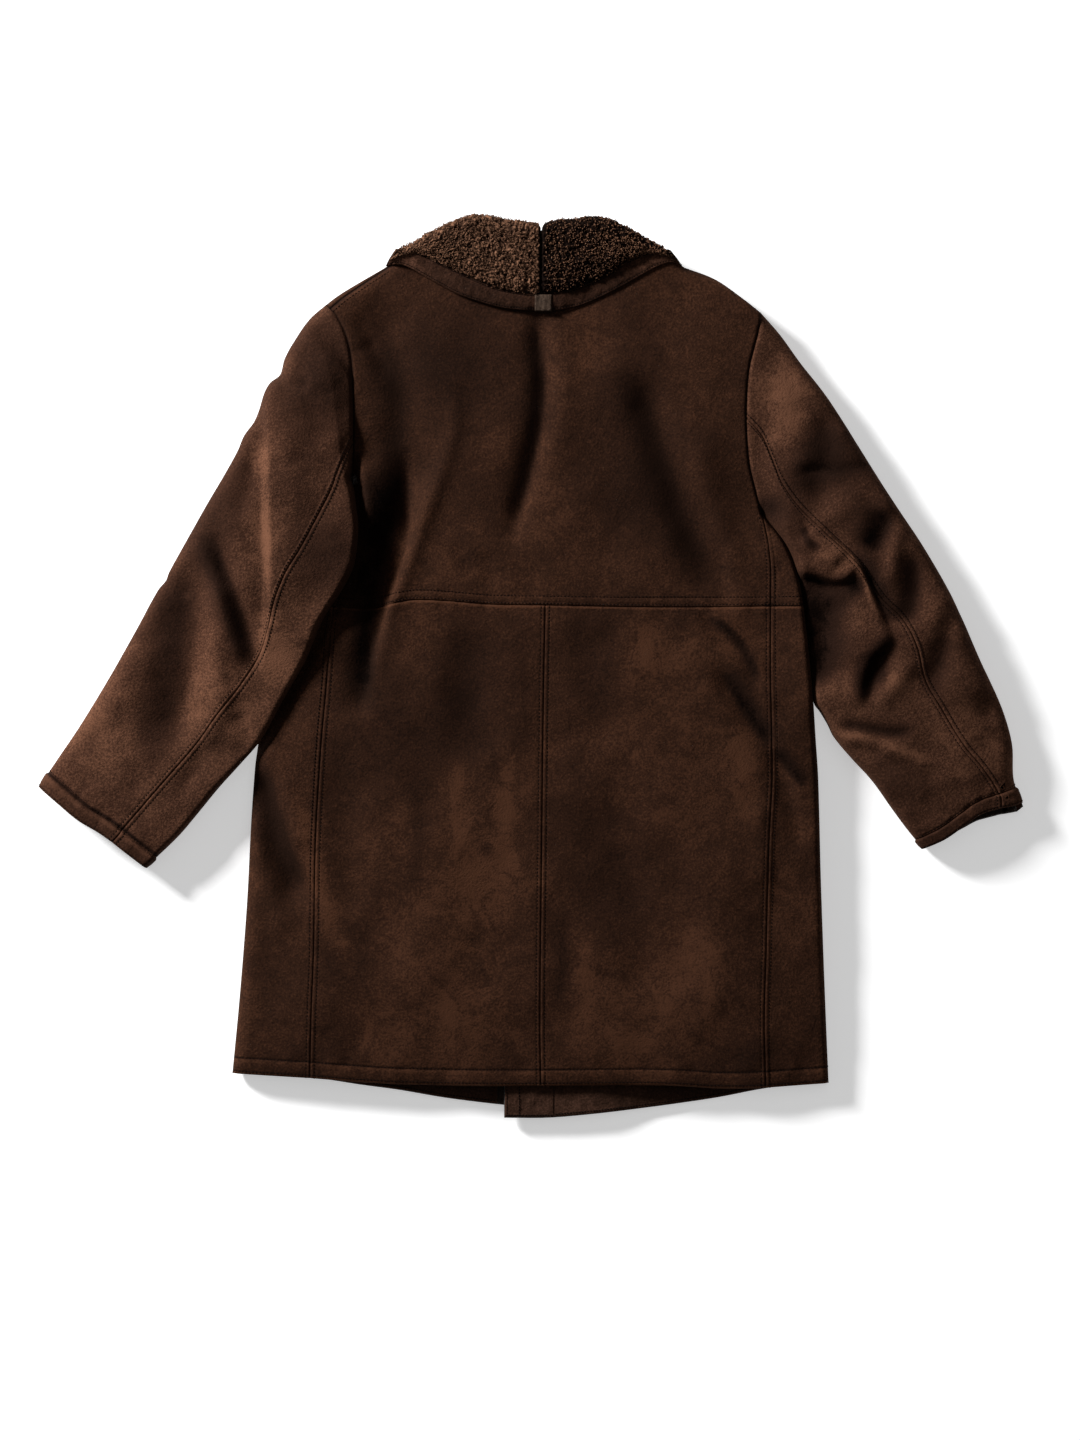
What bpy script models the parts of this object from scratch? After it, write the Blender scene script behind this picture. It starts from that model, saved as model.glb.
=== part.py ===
"""Shearling coat lying flat, back up, collar folded down over the back.

Frame: +X across the coat, +Y towards the collar, +Z up off the surface it rests on,
origin at the middle of the coat's bounding box, on that surface.
Every cloth piece is a closed wall: an outer skin and an inner skin one wall apart, both laid
over the same plan of the piece. Lengths in the tables are millimetres.
"""
import math

import bpy
import numpy as np

for obj in list(bpy.data.objects):
    bpy.data.objects.remove(obj, do_unlink=True)

# ---------------------------------------------------------------- driving dimensions
WALL = 7.0            # shearling: suede skin with its clipped wool
FLEECE = 12.0         # collar leaf, skin with longer curls
BAND = 4.0            # suede band round the collar leaf
LINING = 1.6          # facing and turned-up hem strips
SEAM = 0.17           # each piece stops this far short of a seam
EDGE = (0.0, 2.5, 8.0, 15.5)     # stations across a rounded fold
FOLD_R = 15.5         # plan radius of a fold at the body's sides and shoulders
SLEEVE_R = 21.0       # plan radius of a fold along the sleeves
REST_H = 19.0         # height of the body under the sleeve that lies on it
SLEEVE_LIFT = 21.0    # height at which that sleeve passes over the body
FRONT_LIFT = 7.6      # the right front lies over the left front by this much
CUFF_BAND = 20.0      # depth of the turned-up band at each cuff

ROWS_LOWER = 15
ROWS_UNDERARM = 6
COLS_HALF = 8

# ---------------------------------------------------------------- outlines, seen from above
FOLD_LEFT = [(-339, -464), (-331, -382), (-322, -268), (-316, -154), (-311, -99), (-302, -40),
             (-286, 34), (-272, 68), (-254, 96), (-232, 118), (-207, 138), (-197, 158),
             (-199, 182), (-203, 211)]
FOLD_RIGHT = [(339, -475), (335, -382), (330, -245), (327, -131), (324, -85), (320, -28),
              (313, 40), (304, 100), (288, 139), (262, 172)]
SIDE_SEAM_LEFT = [(-250, -469), (-248, -399), (-245, -325), (-243, -202), (-237, -97),
                  (-231, -28), (-224, 66), (-212, 102), (-199, 132), (-192, 158), (-195, 182),
                  (-203, 211)]
SIDE_SEAM_RIGHT = [(267, -480), (265, -399), (267, -325), (270, -202), (274, -120), (272, -20),
                   (272, 66), (272, 110), (268, 145), (262, 172)]
CENTRE_SEAM = [(12, -478), (11, -400), (13, -211), (15, -40), (17, 67)]
WAIST_LEFT = [(17, 67), (-46, 68), (-97, 72), (-132, 73), (-152, 70), (-181, 64), (-225, 66)]
WAIST_RIGHT = [(17, 67), (125, 65), (200, 65), (272, 66)]
HEM_BACK_LEFT = [(12, -478), (-58, -478), (-149, -476), (-200, -473), (-250, -469)]
HEM_BACK_RIGHT = [(12, -478), (125, -477), (170, -478), (216, -481), (267, -480)]
HEM_FRONT_LEFT = [(-339, -464), (-290, -467), (-240, -471), (-194, -478), (-149, -484),
                  (-103, -492), (-58, -498), (-20, -502), (22, -505)]
HEM_FRONT_RIGHT = [(339, -475), (300, -478), (262, -483), (216, -492), (170, -499),
                   (125, -505), (79, -510), (20, -515), (-30, -515)]
ARMHOLE_LEFT = [(-203, 211), (-201, 256), (-201, 302), (-203, 345), (-209, 372),
                (-220, 394), (-233, 408)]
ARMHOLE_RIGHT = [(262, 172), (255, 199), (248, 228), (245, 265), (245, 302), (248, 336),
                 (253, 357), (258, 376), (262, 399)]
SHOULDER_LEFT = [(-162, 450), (-194, 434), (-217, 420), (-233, 408)]
SHOULDER_RIGHT = [(175, 451), (209, 438), (239, 417), (262, 399)]
NECK_BACK_LEFT = [(12, 427), (-58, 430), (-103, 434), (-140, 441), (-162, 450)]
NECK_BACK_RIGHT = [(12, 427), (79, 430), (125, 434), (155, 441), (175, 451)]
NECK_FRONT_LEFT = [(22, 335), (-40, 342), (-95, 366), (-132, 402), (-162, 450)]
NECK_FRONT_RIGHT = [(-30, 335), (50, 342), (108, 366), (146, 402), (175, 451)]
FRONT_EDGE_LEFT = [(22, -505), (22, 66), (22, 335)]
FRONT_EDGE_RIGHT = [(-30, -515), (-30, 66), (-30, 335)]
SLEEVE_OUTER_LEFT = [(-233, 408), (-250, 393), (-272, 360), (-284, 328), (-313, 277),
                     (-347, 215), (-396, 131), (-428, 74), (-461, 17), (-493, -40),
                     (-528, -97), (-551, -127), (-558, -139)]
SLEEVE_INNER_LEFT = [(-203, 211), (-202, 182), (-200, 158), (-200, 142), (-205, 112),
                     (-217, 85), (-240, 51), (-257, 6), (-282, -40), (-307, -85),
                     (-331, -114), (-354, -140), (-377, -168), (-400, -195), (-437, -230)]
SLEEVE_SEAM_LEFT = [(-207, 256), (-216, 222), (-225, 197), (-239, 169), (-259, 131),
                    (-276, 103), (-289, 71), (-296, 40), (-306, 11), (-328, -24),
                    (-354, -57), (-377, -89), (-422, -141), (-474, -201)]
CUFF_LEFT_OUTER = [(-558, -139), (-535, -158), (-512, -177), (-490, -190), (-474, -201)]
CUFF_LEFT_INNER = [(-474, -201), (-455, -216), (-437, -230)]
SLEEVE_OUTER_RIGHT = [(262, 399), (284, 374), (307, 342), (338, 302), (376, 242),
                      (410, 188), (444, 137), (478, 78), (512, 2), (535, -48), (547, -90),
                      (549, -130), (558.5, -157)]
SLEEVE_INNER_RIGHT = [(262, 172), (292, 142), (308.5, 101), (317, 40), (324, -28),
                      (327, -50), (337, -68), (344, -83), (364, -106), (387, -131),
                      (410, -163), (427, -186), (446, -209)]
SLEEVE_SEAM_RIGHT = [(245, 279), (262, 259), (272, 236), (284, 206), (302, 180), (330, 152),
                     (364, 120), (378, 103), (398, 74), (421, 51), (437, 19), (446, -17),
                     (467, -54), (490, -91), (512, -117), (530, -145), (533, -163)]
CUFF_RIGHT_OUTER = [(558.5, -157), (545, -161), (533, -163)]
CUFF_RIGHT_INNER = [(533, -163), (510, -170), (494, -181), (470, -198), (446, -209)]
COLLAR_FOLD_LEFT = [(12, 498), (-4, 505), (-24, 508), (-58, 513), (-69, 513), (-92, 505),
                    (-115, 494), (-137, 482), (-152, 473)]
COLLAR_FOLD_RIGHT = [(12, 498), (26, 506), (46, 509), (68, 511), (85, 509), (102, 503),
                     (125, 492), (142, 483), (158, 473)]
LEAF_EDGE_LEFT = [(12, 424), (-18, 427), (-40, 433), (-63, 440), (-86, 449), (-103, 455),
                  (-120, 462), (-135, 465), (-156, 463)]
LEAF_EDGE_RIGHT = [(12, 424), (39, 429), (62, 435), (79, 441), (96, 450), (108, 456),
                   (125, 463), (142, 466), (162, 463)]
BAND_EDGE_LEFT = [(12, 404), (-12, 406), (-35, 412), (-63, 420), (-92, 430), (-115, 439),
                  (-137, 450), (-149, 454), (-164, 453)]
BAND_EDGE_RIGHT = [(12, 404), (28, 405), (51, 409), (79, 418), (108, 432), (136, 448),
                   (148, 454), (171, 453)]
TAB_LEFT, TAB_RIGHT, TAB_LOW, TAB_HIGH = 5.0, 25.0, 405.0, 422.0

# The largest folds of the back: (height, half width, the line it runs along)
BACK_FOLDS = [
    (-9.0, 26, [(-177, 382), (-149, 268), (-166, 165), (-186, 74), (-190, -17)]),
    (5.0, 24, [(-166, 50), (-137, 137), (-103, 222)]),
    (-3.5, 20, [(5, 382), (7, 279), (-6, 234), (-23, 154)]),
    (-6.0, 22, [(125, 268), (159, 188), (193, 120), (210, 74), (227, 28), (256, -17)]),
    (4.0, 24, [(160, 260), (205, 170), (240, 90)]),
    (-4.0, 45, [(-80, -10), (-60, -60)]),
    (-4.0, 45, [(60, 20), (90, -20)]),
    (-4.0, 16, [(-303, -142), (-286, -211), (-263, -245), (-251, -268)]),
    (3.0, 40, [(-150, -200), (-140, -420)]),
    (3.0, 40, [(150, -180), (170, -420)]),
]
SLEEVE_LEFT_FOLDS = [
    (6.0, 24, [(-305, 279), (-299, 245), (-302, 165), (-304, 97), (-312, 30)]),
    (-9.0, 20, [(-352, 142), (-337, 74), (-325, 17), (-320, 0)]),
    (-7.0, 28, [(-388, 63), (-402, 17), (-405, -40), (-411, -86)]),
    (5.0, 26, [(-440, 20), (-470, -60), (-500, -110)]),
]
SLEEVE_RIGHT_FOLDS = [
    (-8.0, 16, [(310, 99), (330, 97), (351, 92), (368, 101)]),
    (-9.0, 15, [(410, 17), (398, 11), (387, 0), (383, -28), (378, -48)]),
    (-6.0, 20, [(421, 120), (427, 74), (421, 51)]),
    (5.0, 24, [(350, 170), (395, 125), (400, 90)]),
    (-5.0, 20, [(473, 51), (467, 6), (478, -23)]),
    (4.0, 24, [(440, 0), (430, -60), (450, -120)]),
]


# ---------------------------------------------------------------- plan lines and patches
def smooth(value):
    """Ease from 0 to 1."""
    t = np.clip(value, 0.0, 1.0)
    return t * t * (3.0 - 2.0 * t)


class Line:
    """A smooth line through a few plan points, read by the fraction of its length."""

    def __init__(self, points, rounded=True):
        pts = np.array(points, float)
        self.p = self.through(pts) if rounded else pts
        self.measure()

    def measure(self):
        step = np.diff(self.p, axis=0)
        self.s = np.concatenate([[0.0], np.cumsum(np.hypot(step[:, 0], step[:, 1]))])
        self.length = self.s[-1]
        side = np.stack([-step[:, 1], step[:, 0]], axis=1)
        side /= np.maximum(np.linalg.norm(side, axis=1), 1e-9)[:, None]
        normal = np.concatenate([side[:1], side[1:] + side[:-1], side[-1:]])
        self.normal = normal / np.maximum(np.linalg.norm(normal, axis=1), 1e-9)[:, None]

    def cloth_on(self, side, first=None, last=None):
        """A copy whose normals point to the cloth: side 1 is to the left of the line."""
        line = Line(self.p, rounded=False)
        line.normal = line.normal * side
        if first is not None:
            line.normal[0] = first
        if last is not None:
            line.normal[-1] = last
        return line

    def part(self, start, end):
        """The stretch between two fractions of the length."""
        a, b = sorted((start, end))
        keep = (self.s > a * self.length + 1e-6) & (self.s < b * self.length - 1e-6)
        pts = np.vstack([self.at(a)[None], self.p[keep], self.at(b)[None]])
        return Line(pts if start < end else pts[::-1], rounded=False)

    @staticmethod
    def through(points, steps=6):
        """Dense curve through the points, with tangents scaled to each span."""
        if len(points) < 3:
            return points
        first = 2 * points[0] - points[1]
        last = 2 * points[-1] - points[-2]
        pad = np.vstack([first, points, last])
        out = [points[0]]
        for i in range(1, len(pad) - 2):
            a, b, c, d = pad[i - 1], pad[i], pad[i + 1], pad[i + 2]
            span = np.linalg.norm(c - b)
            tb = (c - a) / max(np.linalg.norm(c - b) + np.linalg.norm(b - a), 1e-6) * span
            tc = (d - b) / max(np.linalg.norm(c - b) + np.linalg.norm(d - c), 1e-6) * span
            for k in range(1, steps + 1):
                t = k / steps
                h1 = 2 * t ** 3 - 3 * t ** 2 + 1
                h2 = t ** 3 - 2 * t ** 2 + t
                h3 = -2 * t ** 3 + 3 * t ** 2
                h4 = t ** 3 - t ** 2
                out.append(h1 * b + h2 * tb + h3 * c + h4 * tc)
        return np.array(out)

    def at(self, fraction):
        s = np.clip(np.asarray(fraction, float), 0.0, 1.0) * self.length
        return np.stack([np.interp(s, self.s, self.p[:, 0]),
                         np.interp(s, self.s, self.p[:, 1])], axis=-1)

    def reach_y(self, y):
        """Fraction of the length where the line first reaches this y."""
        up = self.p[-1, 1] > self.p[0, 1]
        ys = self.p[:, 1] if up else -self.p[:, 1]
        return float(np.interp(y if up else -y, np.maximum.accumulate(ys), self.s) / self.length)

    def knots(self):
        """Fraction of the length at each of its points."""
        return self.s / self.length

    def back(self):
        """The same line from its other end."""
        return Line(self.p[::-1], rounded=False)

    def nearest(self, xy):
        """Distance to the line and the unit direction away from it, for an array of points."""
        a, b = self.p[:-1], self.p[1:]
        ab = b - a
        rel = xy[..., None, :] - a
        t = np.clip((rel * ab).sum(-1) / np.maximum((ab * ab).sum(-1), 1e-9), 0.0, 1.0)
        foot = a + t[..., None] * ab
        dist = np.linalg.norm(xy[..., None, :] - foot, axis=-1)
        k = dist.argmin(-1)
        pick = np.take_along_axis
        d = pick(dist, k[..., None], -1)[..., 0]
        foot = pick(foot, k[..., None, None], -2)[..., 0, :]
        t = pick(t, k[..., None], -1)[..., 0]
        norm = self.normal[k] * (1 - t)[..., None] + self.normal[k + 1] * t[..., None]
        away = (xy - foot) + 0.4 * norm
        away /= np.maximum(np.linalg.norm(away, axis=-1), 1e-9)[..., None]
        return d, away


def join(*lines):
    """One line made of several that follow each other."""
    return Line(np.vstack([lines[0].p] + [item.p[1:] for item in lines[1:]]), rounded=False)


class Dot:
    """A line of no length, where two lines meet."""

    def __init__(self, point):
        self.point = np.array(point, float)

    def at(self, fraction):
        return np.zeros(np.shape(fraction) + (2,)) + self.point


def coons(bottom, top, left, right, u, v):
    """Plan points between four lines: u runs from left to right, v from bottom to top."""
    u3, v3 = u[..., None], v[..., None]
    sides = (1 - u3) * left.at(v) + u3 * right.at(v) + (1 - v3) * bottom.at(u) + v3 * top.at(u)
    corners = ((1 - u3) * (1 - v3) * bottom.at(0) + u3 * (1 - v3) * bottom.at(1)
               + (1 - u3) * v3 * top.at(0) + u3 * v3 * top.at(1))
    return sides - corners


def patch(bottom, top, left, right, ub, ut, vl, vr):
    """Plan grid with its own stations along each of the four lines."""
    ub, ut, vl, vr = (np.asarray(item, float) for item in (ub, ut, vl, vr))
    w = ((vl + vr) / 2)[:, None]
    q = ((ub + ut) / 2)[None, :]
    u = (1 - w) * ub[None, :] + w * ut[None, :]
    v = (1 - q) * vl[:, None] + q * vr[:, None]
    return coons(bottom, top, left, right, u, v)


def ridge(xy, folds):
    """Sum of the soft ridges and troughs at each point."""
    total = np.zeros(xy.shape[:-1])
    for height, half, points in folds:
        d, _ = Line(points).nearest(xy)
        total += height * np.exp(-(d / half) ** 2)
    return total


# ---------------------------------------------------------------- sheets with a wall
class Sheet:
    """One piece of cloth: patches welded along their shared edges, then given its wall."""

    def __init__(self, name):
        self.name = name
        self.index = {}
        self.outer = []
        self.inner = []
        self.faces = []

    def vertex(self, out, inn):
        key = tuple(int(round(c * 50)) for c in out)
        if key not in self.index:
            self.index[key] = len(self.outer)
            self.outer.append(out)
            self.inner.append(inn)
        return self.index[key]

    def add(self, outer, inner, flip=False):
        """Add a grid of outer points with their inner points; faces point outward."""
        rows, cols = outer.shape[:2]
        ids = [[self.vertex(outer[i, j], inner[i, j]) for j in range(cols)]
               for i in range(rows)]
        for i in range(rows - 1):
            for j in range(cols - 1):
                quad = [ids[i][j], ids[i][j + 1], ids[i + 1][j + 1], ids[i + 1][j]]
                loop = [v for k, v in enumerate(quad) if v != quad[k - 1]]
                if len(set(loop)) < 3:
                    continue
                self.faces.append(loop[::-1] if flip else loop)

    def rim(self):
        """Edges used by one face only, in that face's direction."""
        seen = {}
        for face in self.faces:
            for k, a in enumerate(face):
                b = face[(k + 1) % len(face)]
                seen[(a, b)] = face
        return [(edge, face) for edge, face in seen.items() if edge[::-1] not in seen]

    def draw_in(self, amount):
        """Pull the rim back along the cloth, so that neighbours stay apart at the seam."""
        outer = np.array(self.outer)
        push = {}
        for (a, b), face in self.rim():
            pts = outer[face]
            normal = np.zeros(3)
            for k in range(len(face)):
                p, q = pts[k], pts[(k + 1) % len(face)]
                normal += np.cross(p - pts[0], q - pts[0])
            way = outer[b] - outer[a]
            side = np.cross(normal, way)
            size = np.linalg.norm(side)
            if size < 1e-9:
                continue
            push.setdefault(a, []).append(side / size)
            push.setdefault(b, []).append(side / size)
        for v, ways in push.items():
            if len(ways) == 1:
                shift = ways[0]
            else:
                both = ways[0] + ways[1]
                shift = both / max(1.0 + float(np.dot(ways[0], ways[1])), 0.35)
            self.outer[v] = self.outer[v] + shift * amount
            self.inner[v] = self.inner[v] + shift * amount
            self.outer[v][2] = max(self.outer[v][2], 0.0)

    def build(self, colour, roughness, gap=SEAM):
        self.draw_in(gap)
        n = len(self.outer)
        verts = [tuple(p * 0.001) for p in self.outer] + [tuple(p * 0.001) for p in self.inner]
        faces = []
        for face in self.faces:
            for k in range(1, len(face) - 1):
                tri = [face[0], face[k], face[k + 1]]
                faces.append(tri)
                faces.append([v + n for v in reversed(tri)])
        for (a, b), _ in self.rim():
            key_a = self.outer[a][0] + 0.37 * self.outer[a][1]
            key_b = self.outer[b][0] + 0.37 * self.outer[b][1]
            if key_a > key_b:
                faces += [[b, a, b + n], [a, a + n, b + n]]
            else:
                faces += [[b, a, a + n], [b, a + n, b + n]]
        mesh = bpy.data.meshes.new(self.name)
        mesh.from_pydata(verts, [], faces)
        mesh.validate()
        mesh.shade_smooth()
        mesh.set_sharp_from_angle(angle=math.radians(40))
        obj = bpy.data.objects.new(self.name, mesh)
        bpy.context.collection.objects.link(obj)
        material = bpy.data.materials.new(self.name)
        material.use_nodes = True
        shader = material.node_tree.nodes["Principled BSDF"]
        shader.inputs["Base Color"].default_value = (*colour, 1.0)
        shader.inputs["Roughness"].default_value = roughness
        mesh.materials.append(material)
        return obj


def skins(xy, low, high, edges, radius, upper):
    """Outer and inner points of a cloth layer: rounded over where it meets the edges."""
    best = None
    for edge in edges:
        d, away = edge.nearest(xy)
        if best is None:
            best, way = d, away
        else:
            nearer = d < best
            best = np.where(nearer, d, best)
            way = np.where(nearer[..., None], away, way)
    c = 1.0 - np.clip(best / radius, 0.0, 1.0)
    s = np.sqrt(1.0 - c * c)
    middle = (low + high) / 2
    half = (high - low) / 2
    sign = 1.0 if upper else -1.0
    outer = np.concatenate([xy, (middle + sign * half * s)[..., None]], axis=-1)
    shift = np.concatenate([way * (WALL * c)[..., None], (-sign * WALL * s)[..., None]], axis=-1)
    return outer, outer + shift


# ---------------------------------------------------------------- the lines
def even(points):
    """Even stations from 0 to 1."""
    return np.linspace(0.0, 1.0, points + 1)


def armhole_stations(line, meet_y, gusset, crown):
    """Fractions up the armhole, from the underarm to the shoulder, through the sleeve seam."""
    size = line.length
    meet = line.reach_y(meet_y) * size
    low = np.linspace(EDGE[3], meet, gusset + 1)
    high = np.linspace(meet, size - EDGE[3], crown + 1)[1:]
    ends = [size - EDGE[2], size - EDGE[1], size]
    return np.concatenate([EDGE[:3], low, high, ends]) / size


fold_left = Line(FOLD_LEFT)
fold_right = Line(FOLD_RIGHT)
side_left = Line(SIDE_SEAM_LEFT)
side_right = Line(SIDE_SEAM_RIGHT)
armhole_left = Line(ARMHOLE_LEFT)
armhole_right = Line(ARMHOLE_RIGHT)
shoulder_left = Line(SHOULDER_LEFT)
shoulder_right = Line(SHOULDER_RIGHT)
inner_left = Line(SLEEVE_INNER_LEFT)
inner_right = Line(SLEEVE_INNER_RIGHT)
outer_left = Line(SLEEVE_OUTER_LEFT)
outer_right = Line(SLEEVE_OUTER_RIGHT)

# The same lines as edges that the cloth folds round, each pointing into its cloth
UP = (0.0, 1.0)
edge_fold_left = fold_left.cloth_on(-1, last=UP)
edge_fold_right = fold_right.cloth_on(1, last=UP)
edge_top_left = join(shoulder_left, outer_left).cloth_on(1)
edge_top_right = join(shoulder_right, outer_right).cloth_on(-1)
edge_inner_left = inner_left.cloth_on(-1, first=UP)
edge_inner_right = inner_right.cloth_on(1, first=UP)
BODY_EDGES = [edge_fold_left, edge_fold_right, edge_top_left, edge_top_right]


# ---------------------------------------------------------------- heights
def body_high(xy):
    """Height of the body's upper skin over the surface it lies on."""
    x, y = xy[..., 0], xy[..., 1]
    centre = np.interp(y, [-480, -300, -100, 66, 200, 330, 440], [33, 35, 35, 35, 37, 39, 34])
    side = np.interp(y, [-480, -200, 0, 150, 300, 440], [27, 27, 27, 25, 28, 30])
    d_left, _ = fold_left.nearest(xy)
    d_right, _ = fold_right.nearest(xy)
    high = side + (centre - side) * smooth(np.minimum(d_left, d_right) / 90)
    ys = np.array(SLEEVE_INNER_LEFT)[::-1]
    under = x < np.interp(y, ys[:, 1], ys[:, 0])
    d_in, _ = inner_left.nearest(xy)
    d_in = np.where(under, 0.0, d_in)
    pressed = REST_H + (centre - REST_H) * smooth((d_in - 6) / 80)
    amount = smooth((290 - y) / 75) * smooth((y + 150) / 60) * (x < 0)
    high = high + (pressed - high) * amount + ridge(xy, BACK_FOLDS)
    high = np.where((amount > 0.5) & under, np.minimum(high, REST_H), high)
    return np.maximum(high, 17.5)


def right_front_low(xy):
    """The right front steps up over the left front near its edge."""
    return FRONT_LIFT * smooth((135 - xy[..., 0]) / 70)


def sleeve_left_heights(xy, t):
    x, y = xy[..., 0], xy[..., 1]
    own = np.interp(t, [0, 0.08, 0.2, 0.35, 0.5, 0.75, 0.92, 1],
                    [34, 40, 49, 53, 51, 46, 37, 32])
    a = smooth(t / 0.12)
    high = body_high(xy) * (1 - a) + (own + ridge(xy, SLEEVE_LEFT_FOLDS)) * a
    line = np.array(FOLD_LEFT)
    inside = x > np.interp(y, line[:, 1], line[:, 0])
    q, _ = fold_left.nearest(xy)
    q = np.where(inside, 0.0, q)
    low = SLEEVE_LIFT * (1 - smooth((q - 6) / 44)) * smooth((209 - y) / 41)
    return low, np.maximum(high, low + 17.5)


def sleeve_right_heights(xy, t):
    own = np.interp(t, [0, 0.1, 0.25, 0.5, 0.75, 0.92, 1], [34, 38, 43, 45, 41, 34, 30])
    d, _ = inner_right.nearest(xy)
    own = own - 9 * np.exp(-(d / 45) ** 2) * (1 - smooth((t - 0.42) / 0.15))
    a = smooth(t / 0.12)
    high = body_high(xy) * (1 - a) + (own + ridge(xy, SLEEVE_RIGHT_FOLDS)) * a
    low = np.zeros(xy.shape[:-1])
    return low, np.maximum(high, low + 17.5)


# ---------------------------------------------------------------- back and fronts
def half_body(side, names, fold, seam, armhole, shoulder, centre_hem, waist_points, neck_back,
              neck_front, front_edge, hem_front, low_under, arm, wrap):
    """Panels of one half: side is 1 for +X and -1 for -X."""
    upper, lower, front_upper, front_lower = names
    flip = side < 0
    y_waist = 66.0
    f_fold, f_seam = fold.reach_y(y_waist), seam.reach_y(y_waist)
    seam_waist = tuple(seam.at(f_seam))
    fold_waist = tuple(fold.at(f_fold))
    centre = Line(CENTRE_SEAM)
    waist = Line(waist_points[:-1] + [seam_waist])
    hem_back = Line(centre_hem)
    rows = even(ROWS_LOWER)
    cols = even(COLS_HALF)

    def top_skin(xy):
        return skins(xy, 0.0, body_high(xy), BODY_EDGES, FOLD_R, True)

    def under_skin(xy):
        return skins(xy, low_under(xy), body_high(xy), BODY_EDGES, FOLD_R, False)

    # lower back panel
    grid = patch(hem_back, waist, centre, seam.part(0, f_seam), cols, cols, rows, rows)
    lower.add(*top_skin(grid), flip)

    # lower front: side strip on top, then round the fold to the front edge underneath
    def side_stations(width):
        steps = [width] + [w for w in (0.62 * width, EDGE[3], EDGE[2], EDGE[1], 0.0)]
        return 1 - np.array(steps) / width

    hem_side = Line([centre_hem[-1], hem_front[0]], rounded=False)
    waist_side = Line([seam_waist, fold_waist], rounded=False)
    at_hem, at_waist = side_stations(hem_side.length), side_stations(waist_side.length)
    grid = patch(hem_side, waist_side, seam.part(0, f_seam), fold.part(0, f_fold),
                 at_hem, at_waist, rows, rows)
    front_lower.add(*top_skin(grid), flip)
    edge = np.array(front_edge, float)
    under_waist = Line([fold_waist, front_edge[1]], rounded=False)
    hem_under = Line(hem_front)

    def across(width):
        return np.concatenate([EDGE[:3], np.linspace(EDGE[3], width, 9)]) / width

    grid = patch(hem_under, under_waist, fold.part(0, f_fold),
                 Line([front_edge[0], front_edge[1]], rounded=False),
                 across(hem_under.length), across(under_waist.length), rows, rows)
    front_lower.add(*under_skin(grid), flip)

    # upper back
    up_rows = np.linspace(0, 1, ROWS_UNDERARM + 1)
    seam_up = seam.part(f_seam, 1)
    arm_back = armhole.part(0, arm[-3]) if wrap else armhole
    arm_rows = arm[:-2] / arm[-3] if wrap else arm
    boundary = join(seam_up, arm_back)
    ratio = seam_up.length / boundary.length
    v_side = np.concatenate([up_rows * ratio, ratio + (1 - ratio) * arm_rows[1:]])
    v_mid = np.concatenate([up_rows * 0.34, 0.34 + 0.66 * even(len(arm_rows) - 1)[1:]])
    neck = Line(neck_back)
    if wrap:
        neck_main = neck.part(0, 1 - EDGE[2] / neck.length)
        neck_rest = neck.part(1 - EDGE[2] / neck.length, 1)
        start, end = neck_main.at(1), arm_back.at(1)
        run = shoulder.at(even(3))
        inset = np.array([(start + (end - start) * k) for k in even(3)])
        bow = run - (run[0] + (run[-1] - run[0]) * even(3)[:, None])
        seam_line = Line(inset + bow, rounded=False)
    else:
        neck_main, seam_line = neck, Line(shoulder.at(even(3)), rounded=False)
    top = join(neck_main, seam_line)
    part_neck = neck_main.length / top.length
    u_top = np.concatenate([even(COLS_HALF - 3) * part_neck,
                            part_neck + (1 - part_neck) * seam_line.knots()[1:]])
    centre_up = Line([CENTRE_SEAM[-1], (14, 260), neck_back[0]])
    grid = patch(waist, top, centre_up, boundary, cols, u_top, v_mid, v_side)
    upper.add(*top_skin(grid), flip)

    # upper front: side strip on top up to the underarm
    grid = patch(waist_side, Dot(fold.at(1)), seam_up, fold.part(f_fold, 1),
                 at_waist, at_waist, up_rows, up_rows)
    front_upper.add(*top_skin(grid), flip)
    # underneath, up to the armhole, shoulder and neck
    fold_up = fold.part(f_fold, 1)
    left = join(fold_up, armhole)
    ratio = fold_up.length / left.length
    v_left = np.concatenate([up_rows * ratio, ratio + (1 - ratio) * arm[1:]])
    v_right = np.concatenate([up_rows * 0.4, 0.4 + 0.6 * even(len(arm) - 1)[1:]])
    shoulder_in = Line(shoulder.at(even(3))[::-1], rounded=False)
    neck_in = Line(neck_front).back()
    top = join(shoulder_in, neck_in)
    part = shoulder_in.length / top.length
    base = across(under_waist.length)
    u_top = np.concatenate([shoulder_in.knots() * part,
                            part + (1 - part) * even(len(base) - 4)[1:]])
    grid = patch(under_waist, top, left, Line([front_edge[1], front_edge[2]], rounded=False),
                 base, u_top, v_left, v_right)
    front_upper.add(*under_skin(grid), flip)
    if wrap:
        ends = armhole.part(arm[-3], 1)
        steps = [0, 1 - EDGE[1] / EDGE[2], 1]
        ridge_line = Line(shoulder.at(even(3)), rounded=False)
        grid = patch(seam_line, ridge_line, neck_rest, ends,
                     seam_line.knots(), ridge_line.knots(), steps, steps)
        front_upper.add(*top_skin(grid), flip)


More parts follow.
